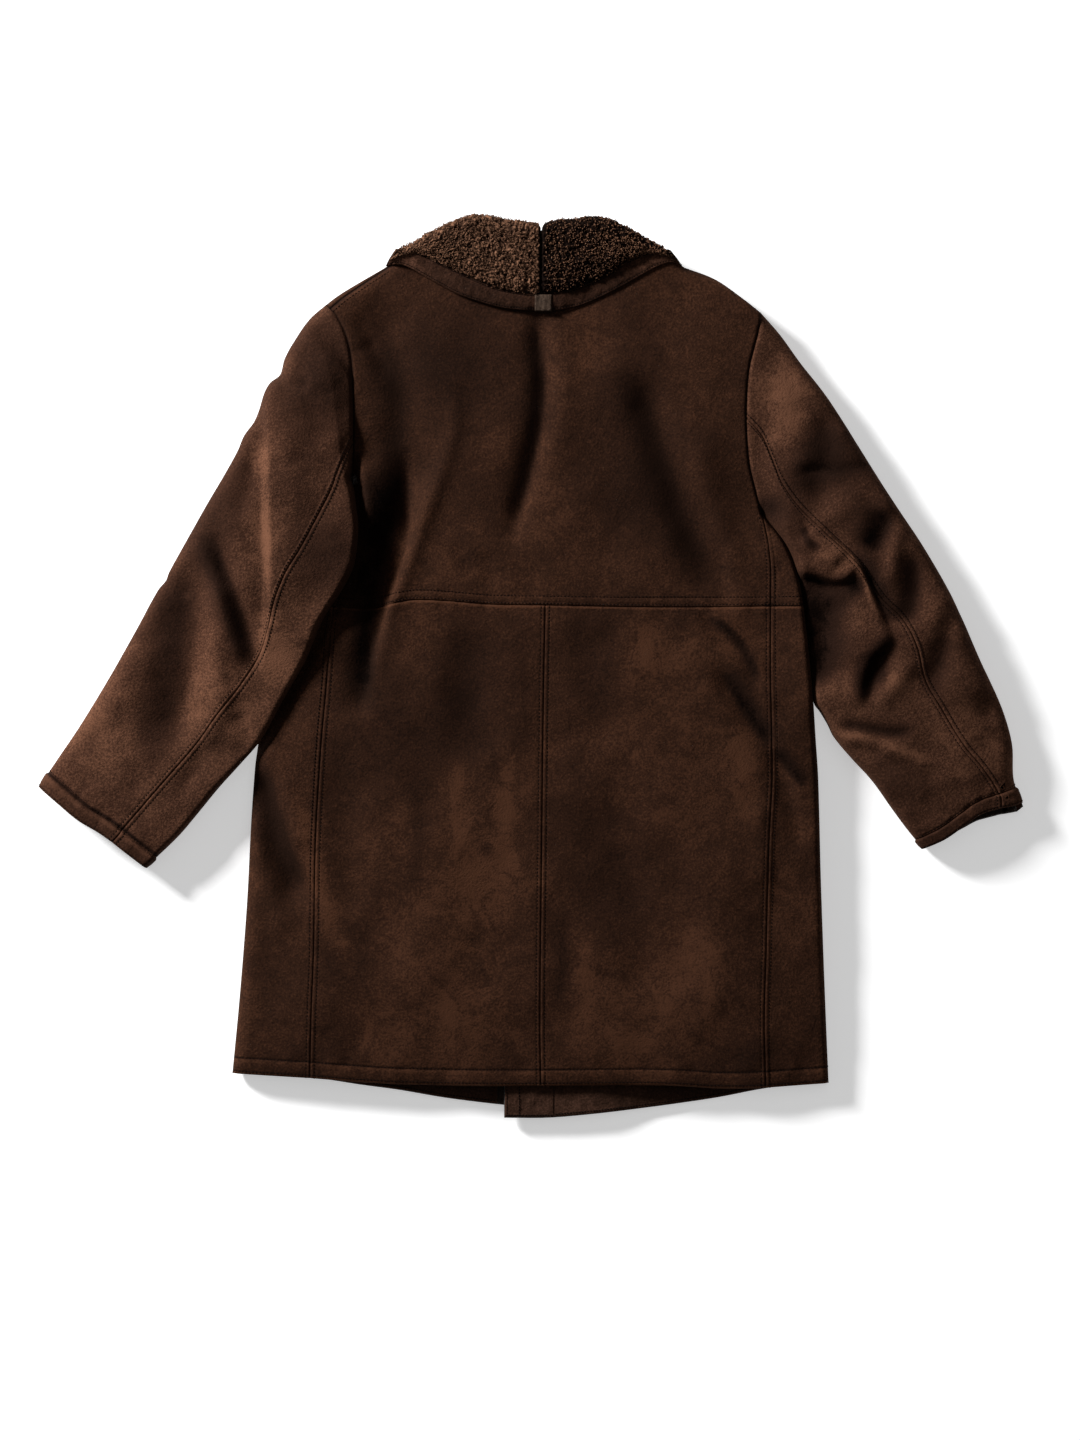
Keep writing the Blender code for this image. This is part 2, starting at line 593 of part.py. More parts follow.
back_upper = Sheet("back_upper")
pieces = {name: Sheet(name) for name in (
    "back_lower_left", "front_upper_left", "front_lower_left",
    "back_lower_right", "front_upper_right", "front_lower_right")}
GUSSET_LEFT, CROWN_LEFT = 3, 5
GUSSET_RIGHT, CROWN_RIGHT = 2, 4
arm_left = armhole_stations(armhole_left, 256.0, GUSSET_LEFT, CROWN_LEFT)
arm_right = armhole_stations(armhole_right, 279.0, GUSSET_RIGHT, CROWN_RIGHT)
half_body(
    -1, (back_upper, pieces["back_lower_left"], pieces["front_upper_left"],
         pieces["front_lower_left"]),
    fold_left, side_left, armhole_left, shoulder_left, HEM_BACK_LEFT, WAIST_LEFT,
    NECK_BACK_LEFT, NECK_FRONT_LEFT, FRONT_EDGE_LEFT, HEM_FRONT_LEFT,
    lambda xy: np.zeros(xy.shape[:-1]), arm_left, True)
half_body(
    1, (back_upper, pieces["back_lower_right"], pieces["front_upper_right"],
        pieces["front_lower_right"]),
    fold_right, side_right, armhole_right, shoulder_right, HEM_BACK_RIGHT, WAIST_RIGHT,
    NECK_BACK_RIGHT, NECK_FRONT_RIGHT, FRONT_EDGE_RIGHT, HEM_FRONT_RIGHT,
    right_front_low, arm_right, False)


# ---------------------------------------------------------------- sleeves
def sleeve(side, top_piece, under_piece, cuff_piece, armhole, arm, outer, inner, seam_points, cuff_outer,
           cuff_inner, edges, heights, gusset_cols, crown_cols, rows=19):
    """A flat tube in two pieces, from the back seam over each fold to the seam underneath,
    with a turned-up band round the cuff."""
    flip = side > 0
    meet = arm[3 + gusset_cols]
    seam = Line([tuple(armhole.at(meet))] + seam_points[1:])
    down = armhole.back()
    crown, gusset = down.part(0, 1 - meet), down.part(1 - meet, 1)
    cuff_a, cuff_b = Line(cuff_outer), Line(cuff_inner)
    arm_down = (1 - arm)[::-1]
    at_crown = arm_down[:crown_cols + 4] / (1 - meet)
    at_gusset = (arm_down[crown_cols + 3:] - (1 - meet)) / meet
    band = 1 - CUFF_BAND / outer.length
    t = np.concatenate([even(rows) * band, [(1 + band) / 2, 1.0]])
    grow = 1 + (SLEEVE_R / FOLD_R - 1) * smooth(t / 0.15)

    def widths(a, b):
        return np.linalg.norm(a.at(t) - b.at(t), axis=1)

    def stations(width, first):
        ends = np.array(EDGE)[None, :] * grow[:, None] / width[:, None]
        if first:
            rest = even(crown_cols)[1:]
            return np.hstack([ends, ends[:, 3:] + (1 - ends[:, 3:]) * rest])
        rest = even(gusset_cols)[:-1]
        return np.hstack([(1 - ends[:, 3:]) * rest, 1 - ends[:, ::-1]])

    u_a = stations(widths(outer, seam), True)
    u_b = stations(widths(seam, inner), False)
    u_a[0], u_b[0] = at_crown, at_gusset
    v = np.repeat(t[:, None], u_a.shape[1], axis=1)
    part_a = coons(crown, cuff_a, outer, seam, u_a, v)
    v = np.repeat(t[:, None], u_b.shape[1], axis=1)
    part_b = coons(gusset, cuff_b, seam, inner, u_b, v)

    def skin(xy, upper):
        tt = np.repeat(t[:, None], xy.shape[1], axis=1)
        low, high = heights(xy, tt)
        radius = FOLD_R + (SLEEVE_R - FOLD_R) * smooth(tt / 0.15)
        return skins(xy, low, high, edges, radius, upper)

    split = gusset_cols
    sheets = [(part_a, True, not flip, top_piece), (part_a, False, flip, top_piece),
              (part_b[:, :split + 1], False, flip, top_piece),
              (part_b, True, not flip, under_piece),
              (part_b[:, split:], False, flip, under_piece)]
    for plan, upper, turned, piece in sheets:
        outer_pts, inner_pts = skin(plan, upper)
        piece.add(outer_pts[:-2], inner_pts[:-2], turned)
        cuff_piece.add(outer_pts[-3:], inner_pts[-3:], turned)


for name in ("sleeve_left_top", "sleeve_left_under", "sleeve_right_top", "sleeve_right_under",
             "cuff_band_left", "cuff_band_right"):
    pieces[name] = Sheet(name)
sleeve(-1, pieces["sleeve_left_top"], pieces["sleeve_left_under"], pieces["cuff_band_left"],
       armhole_left, arm_left,
       outer_left, inner_left, SLEEVE_SEAM_LEFT, CUFF_LEFT_OUTER, CUFF_LEFT_INNER,
       [edge_top_left, edge_inner_left], sleeve_left_heights, GUSSET_LEFT, CROWN_LEFT)
sleeve(1, pieces["sleeve_right_top"], pieces["sleeve_right_under"], pieces["cuff_band_right"],
       armhole_right, arm_right,
       outer_right, inner_right, SLEEVE_SEAM_RIGHT, CUFF_RIGHT_OUTER, CUFF_RIGHT_INNER,
       [edge_top_right, edge_inner_right], sleeve_right_heights, GUSSET_RIGHT, CROWN_RIGHT)


# ---------------------------------------------------------------- collar
def back_top(xy):
    """Height of the back's skin where the collar lies on it."""
    outer, _ = skins(xy, 0.0, body_high(xy), BODY_EDGES, FOLD_R, True)
    return outer[..., 2]


def collar(side, leaf, band, neck_points, fold_points, edge_points, band_points, cols=10):
    """Leaf rises from the neck seam, folds over and comes down on the back."""
    f = even(cols)
    neck = Line(neck_points).at(f)
    fold = Line(fold_points).at(f)
    edge = Line(edge_points).at(f)
    hem = Line(band_points).at(f)
    flip = side < 0
    way = fold - neck
    way /= np.linalg.norm(way, axis=1)[:, None]
    neck = neck + way * 1.3
    radius = FLEECE + 1.0
    low = 22.0 - 5.0 * smooth((f - 0.6) / 0.4)
    pivot = fold - way * radius
    rows_out, rows_in = [], []

    def put(plan_out, z_out, plan_in, z_in):
        rows_out.append(np.column_stack([plan_out, z_out]))
        rows_in.append(np.column_stack([plan_in, z_in]))

    for k in (0.0, 0.5):
        plan = neck + (pivot - neck) * k
        put(plan, low, plan, low + FLEECE)
    for deg in (-90, -60, -30, 0, 30, 60, 90):
        c, s = math.cos(math.radians(deg)), math.sin(math.radians(deg))
        tight = radius - FLEECE
        put(pivot + way * radius * c, low + radius + radius * s,
            pivot + way * tight * c, low + radius + tight * s)
    rest = back_top(edge) + 1.3
    for k in (0.3, 0.65, 1.0):
        plan = pivot + (edge - pivot) * k
        top = (low + 2 * radius) * (1 - k) + (rest + FLEECE - 1.0) * k
        under = (low + radius + 1.0) * (1 - k) + rest * k
        under = np.maximum(under, np.where(plan[:, 1] < neck[:, 1] + 3, back_top(plan) + 1.3, 0))
        top = np.maximum(top, under + FLEECE - 1.5)
        put(plan, top, plan, under)
    leaf.add(np.array(rows_out), np.array(rows_in), not flip)

    rows_out, rows_in = [], []
    for k in (0.0, 0.5, 1.0):
        plan = edge + (hem - edge) * k
        under = back_top(plan) + 1.3
        put(plan, under + BAND, plan, under)
    rows_out, rows_in = np.array(rows_out), np.array(rows_in)
    band.add(rows_out, rows_in, not flip)


for name in ("collar_left", "collar_right", "collar_band_left", "collar_band_right"):
    pieces[name] = Sheet(name)
collar(-1, pieces["collar_left"], pieces["collar_band_left"], NECK_BACK_LEFT,
       COLLAR_FOLD_LEFT, LEAF_EDGE_LEFT, BAND_EDGE_LEFT)
collar(1, pieces["collar_right"], pieces["collar_band_right"], NECK_BACK_RIGHT,
       COLLAR_FOLD_RIGHT, LEAF_EDGE_RIGHT, BAND_EDGE_RIGHT)


def strip(name, plan, under, thick):
    """A thin strip lying on another layer."""
    piece = Sheet(name)
    low = np.concatenate([plan, under[..., None]], axis=-1)
    high = np.concatenate([plan, (under + thick)[..., None]], axis=-1)
    piece.add(high, low, False)
    pieces[name] = piece


# small leather tab in the middle of the band
xs, ys = np.meshgrid(np.linspace(TAB_LEFT, TAB_RIGHT, 4), np.linspace(TAB_LOW, TAB_HIGH, 4))
plan = np.stack([xs, ys], axis=-1)
strip("collar_tab", plan, back_top(plan) + 1.3 + BAND + 0.5, 2.0)

# suede facing inside the right front edge, and the turned-up hems beside it
plan = patch(Line([(-29, -513.5), (26.5, -513.5)], rounded=False),
             Line([(-29, 300), (26.5, 300)], rounded=False),
             Line([(-29, -513.5), (-29, 300)], rounded=False),
             Line([(26.5, -513.5), (26.5, 300)], rounded=False),
             even(3), even(3), even(14), even(14))
strip("facing_right", plan, right_front_low(plan) + WALL + 0.4, LINING)


def hem_strip(name, hem, start, end, low, depth=38.0):
    """Turned-up hem: follows the front's lower edge from one x to another."""
    pts = hem.at(np.linspace(0, 1, 200))
    xs = np.linspace(start, end, 15)
    order = np.argsort(pts[:, 0])
    ys = np.interp(xs, pts[order, 0], pts[order, 1]) + 1.2
    rows = np.array([0.0, 0.5, 1.0])[:, None] * depth
    plan = np.stack([np.repeat(xs[None, :], 3, axis=0), ys[None, :] + rows], axis=-1)
    step = 1.3 * np.exp(-((plan[..., 0] - 100) / 45) ** 2) if start > 0 else 0.0
    strip(name, plan, low(plan) + WALL + 0.4 + step, LINING)


hem_strip("hem_turn_right", Line(HEM_FRONT_RIGHT), 27.2, 314.0, right_front_low)
hem_strip("hem_turn_left", Line(HEM_FRONT_LEFT), -314.0, -38.0,
          lambda xy: np.zeros(xy.shape[:-1]))

# ---------------------------------------------------------------- colours and objects
SUEDE = (0.035, 0.022, 0.017)
SUEDE_FACING = (0.055, 0.034, 0.026)
FLEECE_BROWN = (0.045, 0.026, 0.019)
TAB_LEATHER = (0.02, 0.013, 0.011)

back_upper.build(SUEDE, 0.9)
for name, piece in pieces.items():
    if name in ("collar_left", "collar_right"):
        piece.build(FLEECE_BROWN, 0.95)
    elif name == "collar_tab":
        piece.build(TAB_LEATHER, 0.6)
    elif name.startswith(("facing", "hem_turn")):
        piece.build(SUEDE_FACING, 0.9)
    else:
        piece.build(SUEDE, 0.9)
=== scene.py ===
"""Shearling coat lying flat on its front, back up, collar folded down over the back."""

import math

import bpy
import numpy as np
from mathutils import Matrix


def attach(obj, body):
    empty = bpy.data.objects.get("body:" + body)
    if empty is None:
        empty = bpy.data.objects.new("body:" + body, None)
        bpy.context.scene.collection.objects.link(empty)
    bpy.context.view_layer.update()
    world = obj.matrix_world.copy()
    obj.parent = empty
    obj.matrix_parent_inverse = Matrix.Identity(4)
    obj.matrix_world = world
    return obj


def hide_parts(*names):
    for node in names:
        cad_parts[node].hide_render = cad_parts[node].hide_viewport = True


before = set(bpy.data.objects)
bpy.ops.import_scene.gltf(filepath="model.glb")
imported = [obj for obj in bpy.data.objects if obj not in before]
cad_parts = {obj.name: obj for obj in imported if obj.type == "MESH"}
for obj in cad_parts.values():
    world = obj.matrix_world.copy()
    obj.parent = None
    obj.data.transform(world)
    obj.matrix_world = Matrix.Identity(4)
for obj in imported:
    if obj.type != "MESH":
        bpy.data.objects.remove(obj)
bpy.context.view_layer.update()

# ------------------------------------------------------------
# Body panels. Shearling, suede outside and clipped wool inside, cut in two lower
# back panels, one upper back and two fronts that wrap round the sides. The panels
# are joined with flat seams; lengths in the tables are millimetres, seen from above.
SKIN = 7.0                 # thickness of the skin with its clipped wool
TURNED = 3.3               # how far each face goes towards the other at a turned edge
SIDE_ROUND = 15.5          # how far in from the outline the cloth turns over
BACK_UNDER_SLEEVE = 18.0   # height of the back where the left sleeve lies on it
WAIST_Y = 66.0
SEAM_BEHIND = 8.0          # from the left shoulder's edge back to its seam

CENTRE_SEAM = [(12, -478), (11, -400), (13, -211), (15, -40), (17, 67)]
INNER_ARM_LEFT = [(-203, 211), (-199.5, 196), (-197, 177), (-195, 160), (-195.5, 142),
    (-200, 112), (-213, 85), (-235, 51), (-254, 6), (-280, -40), (-305, -85), (-330, -114),
    (-354, -140), (-377, -168), (-400, -195), (-437, -230)]
OUTER_ARM_LEFT = [(-233, 408), (-250, 393), (-268, 367), (-279, 347), (-284, 329), (-295, 320),
    (-302, 308), (-308, 289), (-314, 275), (-325, 260), (-332, 243), (-347, 216), (-366, 184),
    (-396, 131), (-411, 104), (-414, 96), (-423, 85), (-447, 41), (-475, -9), (-509, -65),
    (-548, -123), (-558, -139)]
OUTER_ARM_RIGHT = [(262, 399), (284, 374), (307, 342), (338, 302), (376, 242), (410, 188),
    (444, 137), (478, 78), (512, 2), (535, -48), (547, -90), (549, -130), (558.5, -157)]

# millimetres in from an edge, close together where the cloth changes fast
AT_JOIN = (0, 0.5, 1.1, 1.8, 2.6, 3.4, 4.1, 4.7, 5.3, 6.1, 7.2, 9.0)
AT_FOLD = (0, 0.5, 1.4, 2.8, 4.8, 7.4, 10.8, 15.5)
AT_HEM = (0, 0.35, 1.0, 2.0, 3.4, 5.5, 8, 11, 14, 16.4, 17.8, 18.8, 19.8, 21.2, 23.5)
AT_WAIST = (0, 0.5, 1.1, 1.7, 2.3, 2.9, 3.8, 5.2, 7.2, 8.8, 9.7, 10.4, 11.1, 12.2, 14)
AT_PLAIN = (0,)
JOIN_ROW = 7               # station of the stitch row beside a join, 4.7 mm out
HEM_ROW = 11               # station of the stitch row along a turned hem
EDGE_ROW = 4               # and of the row close to its edge


def ease(value):
    """From 0 to 1 without corners."""
    t = np.clip(value, 0.0, 1.0)
    return t * t * (3.0 - 2.0 * t)


def bell(d, wide, power=2):
    """1 where d is 0, fading to almost nothing two widths away."""
    return np.exp(-(d / wide) ** power)


def placed(plan, z):
    """Points in plan at their heights."""
    return np.concatenate([plan, z[..., None]], axis=-1)


def above(xy, line):
    """Distance above a line of points that runs from left to right."""
    return xy[..., 1] - np.interp(xy[..., 0], line[:, 0], line[:, 1])


class Line:
    """A smooth line through a few points, read by the fraction of its length."""

    def __init__(self, points, rounded=True):
        points = np.array(points, float)
        self.p = self.through(points) if rounded and len(points) > 2 else points
        step = np.diff(self.p, axis=0)
        self.s = np.concatenate([[0.0], np.cumsum(np.hypot(step[:, 0], step[:, 1]))])
        self.length = self.s[-1]
        side = np.stack([-step[:, 1], step[:, 0]], axis=1)
        side /= np.maximum(np.linalg.norm(side, axis=1), 1e-9)[:, None]
        normal = np.concatenate([side[:1], side[1:] + side[:-1], side[-1:]])
        self.normal = normal / np.maximum(np.linalg.norm(normal, axis=1), 1e-9)[:, None]

    @staticmethod
    def through(points, steps=6):
        pad = np.vstack([2 * points[0] - points[1], points, 2 * points[-1] - points[-2]])
        out = [points[0]]
        for a, b, c, d in zip(pad, pad[1:], pad[2:], pad[3:]):
            span = np.linalg.norm(c - b)
            tb = (c - a) / (span + np.linalg.norm(b - a)) * span
            tc = (d - b) / (span + np.linalg.norm(d - c)) * span
            for k in range(1, steps + 1):
                t = k / steps
                out.append((2 * t**3 - 3 * t**2 + 1) * b + (t**3 - 2 * t**2 + t) * tb
                           + (3 * t**2 - 2 * t**3) * c + (t**3 - t**2) * tc)
        return np.array(out)

    def facing(self, side, first=None, last=None):
        """A copy whose normals point into the cloth: side 1 is to the left of the line."""
        line = Line(self.p, rounded=False)
        line.normal = line.normal * side
        if first is not None:
            line.normal[0] = first
        if last is not None:
            line.normal[-1] = last
        return line

    def at(self, fraction):
        s = np.clip(np.asarray(fraction, float), 0.0, 1.0) * self.length
        return np.stack([np.interp(s, self.s, self.p[:, 0]),
                         np.interp(s, self.s, self.p[:, 1])], axis=-1)

    def part(self, a, b):
        """The stretch between two fractions of the length."""
        keep = (self.s > a * self.length + 1e-6) & (self.s < b * self.length - 1e-6)
        return Line(np.vstack([self.at(a)[None], self.p[keep], self.at(b)[None]]), rounded=False)

    def cut(self, f):
        return self.part(0, f), self.part(f, 1)

    def from_end(self, distance):
        """Fraction of the length at a distance before the end."""
        return 1 - distance / self.length

    def back(self):
        return Line(self.p[::-1], rounded=False)

    def then(self, *others):
        """This line with others that follow it."""
        return Line(np.vstack([self.p] + [o.p[1:] for o in others]), rounded=False)

    def reach(self, y):
        """Fraction of the length where a line that climbs first reaches y."""
        return float(np.interp(y, np.maximum.accumulate(self.p[:, 1]), self.s) / self.length)

    def nearest(self, xy):
        """Distance to the line, direction away from it, which side (1 is to its left), and
        the fraction of its length."""
        a, b = self.p[:-1], self.p[1:]
        ab = b - a
        rel = xy[..., None, :] - a
        t = np.clip((rel * ab).sum(-1) / np.maximum((ab * ab).sum(-1), 1e-9), 0.0, 1.0)
        off = rel - t[..., None] * ab
        far = np.linalg.norm(off, axis=-1)
        k = far.argmin(-1)
        pick = np.take_along_axis
        d = pick(far, k[..., None], -1)[..., 0]
        off = pick(off, k[..., None, None], -2)[..., 0, :]
        t = pick(t, k[..., None], -1)
        lean = self.normal[k] * (1 - t) + self.normal[k + 1] * t
        away = off + 0.4 * lean
        away /= np.maximum(np.linalg.norm(away, axis=-1), 1e-9)[..., None]
        along = self.s[k] + t[..., 0] * (self.s[k + 1] - self.s[k])
        return d, away, np.sign((off * lean).sum(-1) + 1e-12), along / self.length

    def off(self, xy):
        """Distance to the line."""
        return self.nearest(xy)[0]


def spaced(length, start, end, count):
    """Stations along an edge: the given millimetres in from each end, even between."""
    size = np.asarray(length, float)[..., None]
    first, last = np.array(start) / size, 1 - np.array(end)[..., ::-1] / size
    middle = first[..., -1:] + (last[..., :1] - first[..., -1:]) * np.linspace(0, 1, count)
    return np.concatenate([first[..., :-1], middle, last[..., 1:]], axis=-1)


def coons(bottom, top, left, right, u, v):
    """Plan points between four lines: u runs from left to right, v from bottom to top."""
    u3, v3 = u[..., None], v[..., None]
    sides = (1 - u3) * left.at(v) + u3 * right.at(v) + (1 - v3) * bottom.at(u) + v3 * top.at(u)
    return sides - ((1 - u3) * (1 - v3) * bottom.at(0) + u3 * (1 - v3) * bottom.at(1)
                    + (1 - u3) * v3 * top.at(0) + u3 * v3 * top.at(1))


def stations(wanted, *lines):
    """Stations along lines: given for each, or as (near its start, near its end, between)."""
    return [spaced(line.length, *wanted) for line in lines] if len(wanted) == 3 else wanted


def patch(bottom, top, left, right, across, up):
    """Plan grid between four lines, with its own stations along each of them."""
    (ub, ut), (vl, vr) = stations(across, bottom, top), stations(up, left, right)
    w, q = ((vl + vr) / 2)[:, None], ((ub + ut) / 2)[None, :]
    u = (1 - w) * ub[None, :] + w * ut[None, :]
    v = (1 - q) * vl[:, None] + q * vr[:, None]
    return coons(bottom, top, left, right, u, v)


def tapered(f, share=0.22):
    """Fades a fold out at both ends of its line."""
    return ease(f / share) * ease((1 - f) / share)


def folds_at(xy, folds):
    """Sum of soft ridges and troughs: height, half width to the left and to the right of
    the line each runs along, and the line."""
    total = np.zeros(xy.shape[:-1])
    for height, left, right, points in folds:
        d, _, side, f = Line(points).nearest(xy)
        total += height * bell(d, np.where(side > 0, left, right)) * tapered(f)
    return total


def lips_at(xy, lips):
    """Creases where the cloth to the left of the line rolls over the cloth to its right:
    (height, reach to the left, reach to the right, width of the drop, line)."""
    total = np.zeros(xy.shape[:-1])
    for height, near, far, drop, points in lips:
        d, _, side, f = Line(points).nearest(xy)
        over, under = height * bell(d, near), -height * bell(d, far)
        share = ease(0.5 + side * d / drop)
        total += (over * share + under * (1 - share)) * tapered(f)
    return total


def spots_at(xy, spots):
    """Sum of round soft spots: (strength, radius, place)."""
    return sum(strength * bell(np.linalg.norm(xy - place, axis=1), radius)
               for strength, radius, place in spots)


def ripple(xy, length, seed):
    """Slight unevenness of skin that lies loose."""
    draw = np.random.default_rng(seed)
    total = np.zeros(xy.shape[:-1])
    for _ in range(8):
        turn, phase, stretch = draw.uniform(0, 2 * math.pi, 3)
        wave = 2 * math.pi / (length * (0.7 + 0.14 * stretch))
        total += np.sin((xy[..., 0] * math.cos(turn) + xy[..., 1] * math.sin(turn)) * wave + phase)
    return total / 3


def rolled(d, radius=3.2):
    """1 at a turned edge, 0 from one radius in."""
    c = 1 - np.clip(d / radius, 0, 1)
    return 1 - np.sqrt(1 - c * c)


def stitched(d, row, depth=0.6, wide=0.9):
    """How deep a row of stitches pulls the suede in, that many millimetres from an edge."""
    return depth * bell(d - row, wide)


def flat_join(d, row=4.7, rise=0.3, cut=1.5, wide=0.85):
    """Relief of a flat seam: a groove, raised allowances, and a dip under each stitch row."""
    return rise * ease((row + 1.8 - d) / 2.4) - cut * bell(d, wide) - stitched(d, row)


def shell(xy, low, high, edges, radius, upper, relief=0.0, roll=0.0, crisp=1.0):
    """Outer and inner points of a layer of cloth that turns over at the edges."""
    best = np.full(xy.shape[:-1], 1e9)
    way = np.zeros(xy.shape)
    for edge in edges:
        d, away = edge.nearest(xy)[:2]
        way = np.where((d < best)[..., None], away, way)
        best = np.minimum(best, d)
    c = (1 - np.clip(best / radius, 0, 1)) ** crisp
    s = np.sqrt(1 - c * c)
    sign = 1 if upper else -1
    z = (low + high) / 2 + sign * (high - low) / 2 * s
    turn = sign * TURNED * roll
    inner = placed(xy + way * (SKIN * c)[..., None], z - sign * SKIN * s + turn)
    return placed(xy, np.maximum(z + s * relief - turn, 0.0)), inner


class Wire:
    """A number or colour inside a finish; arithmetic on it adds the maths nodes."""

    def __init__(self, finish, socket):
        self.finish, self.socket = finish, socket

    def maths(self, operation, *values):
        return self.finish.node("Math", {"operation": operation}, dict(enumerate(values)))

    def __add__(self, other):
        return self.maths("ADD", self, other)

    def __sub__(self, other):
        return self.maths("SUBTRACT", self, other)

    def __rsub__(self, other):
        return self.maths("SUBTRACT", other, self)

    def __mul__(self, other):
        return self.maths("MULTIPLY", self, other)

    __radd__, __rmul__ = __add__, __mul__

    def step(self, low, high):
        """0 below low, 1 above high, eased between."""
        return self.finish.node("MapRange", {"interpolation_type": "SMOOTHSTEP"},
                                {"Value": self, "From Min": low, "From Max": high})


class Finish:
    """A node material for one surface of the coat. Fixed values sit on the shader itself."""

    def __init__(self, name, fixed):
        self.material = bpy.data.materials.new(name)
        self.material.use_nodes = True
        self.tree = self.material.node_tree
        self.shader = self.tree.nodes["Principled BSDF"]
        for socket, value in fixed.items():
            self.shader.inputs[socket].default_value = value
        self.place = self.node("TexCoord", {}, {}, "Object")

    def node(self, kind, settings, sockets, out=0):
        node = self.tree.nodes.new("ShaderNode" + kind)
        for key, value in settings.items():
            setattr(node, key, value)
        for key, value in sockets.items():
            self.plug(node.inputs[key], value)
        return Wire(self, node.outputs[out])

    def plug(self, socket, value):
        if isinstance(value, Wire):
            self.tree.links.new(value.socket, socket)
        else:
            socket.default_value = value

    def noise(self, scale, detail=3.0, rough=0.55, warp=0.0):
        return self.node("TexNoise", {}, {"Vector": self.place, "Scale": scale, "Detail": detail,
                                          "Roughness": rough, "Distortion": warp})

    def cells(self, scale, feature="F1"):
        return self.node("TexVoronoi", {"feature": feature},
                         {"Vector": self.place, "Scale": scale}, "Distance")

    def blend(self, mask, first, second):
        """Colour that goes from first to second as the mask goes from 0 to 1."""
        return self.node("Mix", {"data_type": "RGBA"}, {0: mask, 6: first, 7: second}, 2)

    def marks(self, name):
        """A value kept on the piece's own points."""
        return self.node("Attribute", {"attribute_name": name}, {}, "Fac")

    def bumps(self, *layers):
        """Bump nodes in a row: (height, distance in metres, strength)."""
        normal = None
        for height, distance, strength in layers:
            sockets = {"Height": height, "Distance": distance, "Strength": strength}
            if normal is not None:
                sockets["Normal"] = normal
            normal = self.node("Bump", {}, sockets)
        self.plug(self.shader.inputs["Normal"], normal)

    def paint(self, colour, roughness):
        self.plug(self.shader.inputs["Base Color"], colour)
        self.plug(self.shader.inputs["Roughness"], roughness)
        return self.material


def suede(name, dark, mid, light, shift=0.0, mottle=0.8):
    """Napped suede: cloudy where the nap lies differently; the marks on its points add wear and
    painted light, with painted highlights on the ridges and painted shade, down to near black, in
    creases and shadows.
    """
    skin = Finish(name, {"Specular IOR Level": 0.02, "Sheen Weight": 0.1, "Sheen Roughness": 0.4,
                         "Sheen Tint": (0.3, 0.15, 0.09, 1)})
    cloud = skin.noise(7.5, 4, 0.62, 0.4)
    patchy = skin.noise(26, 6, 0.7, 1.1)
    smear = skin.noise(85, 4, 0.65, 1.6)
    nap = skin.noise(1300, 3, 0.7)
    grain = skin.noise(430, 3, 0.6)
    worn = skin.marks("worn")
    level = ((cloud + patchy * 1.25 + smear * 0.7 - 1.475) * mottle + nap * 0.7
             + (grain - 0.5) * (1.0 + 0.75 * mottle) + worn * (patchy * 1.5 - 0.2)
             + (shift + 0.165))
    # painted shade: the near-black colour that the marks reach down in creases and in the sleeve's
    # shadow
    deep = [0.22 * value for value in dark]
    colour = skin.blend(level.step(-0.9, 0.0), (*deep, 1), (*dark, 1))
    colour = skin.blend(level.step(0.0, 0.55), colour, (*mid, 1))
    colour = skin.blend(level.step(0.45, 1.1), colour, (*light, 1))
    specks = skin.cells(150).step(0.06, 0.02) * skin.noise(16).step(0.5, 0.62)
    colour = skin.blend(specks * 0.45, colour, (0.2, 0.15, 0.12, 1))
    skin.bumps((smear, 0.0016, 0.4), (grain, 0.0011, 0.85), (nap, 0.0004, 0.6))
    return skin.paint(colour, patchy * 0.12 + 0.82)


def clipped_wool(name, dark, light):
    """The wool side of the skin, clipped short and slightly matted."""
    wool = Finish(name, {"Specular IOR Level": 0.1, "Sheen Weight": 0.2})
    tufts = wool.cells(330)
    soft = wool.noise(120, 4)
    colour = wool.blend((1 - tufts) * soft * 1.3, (*dark, 1), (*light, 1))
    wool.bumps((tufts, 0.0016, 0.8), (soft, 0.001, 0.5))
    return wool.paint(colour, soft * 0.1 + 0.87)


SUEDE = suede("suede", (0.0115, 0.0052, 0.0032), (0.0235, 0.0099, 0.0056), (0.055, 0.0225, 0.0118),
              0.03)
WOOL = clipped_wool("clipped_wool", (0.008, 0.0045, 0.003), (0.05, 0.03, 0.02))


def add(name, data):
    """Puts an object with this data in the scene."""
    obj = bpy.data.objects.new(name, data)
    bpy.context.collection.objects.link(obj)
    return obj


def smooth_mesh(name, points, faces, finishes, worn=None):
    """A smooth mesh object from points in millimetres, with a tone for each point that holds its
    wear and painted light.
    """
    mesh = bpy.data.meshes.new(name)
    mesh.from_pydata((points / 1000).tolist(), [], faces)
    for finish in finishes:
        mesh.materials.append(finish)
    mesh.shade_smooth()
    if worn is not None:
        mesh.attributes.new("worn", "FLOAT", "POINT").data.foreach_set("value", worn)
    return add(name, mesh)


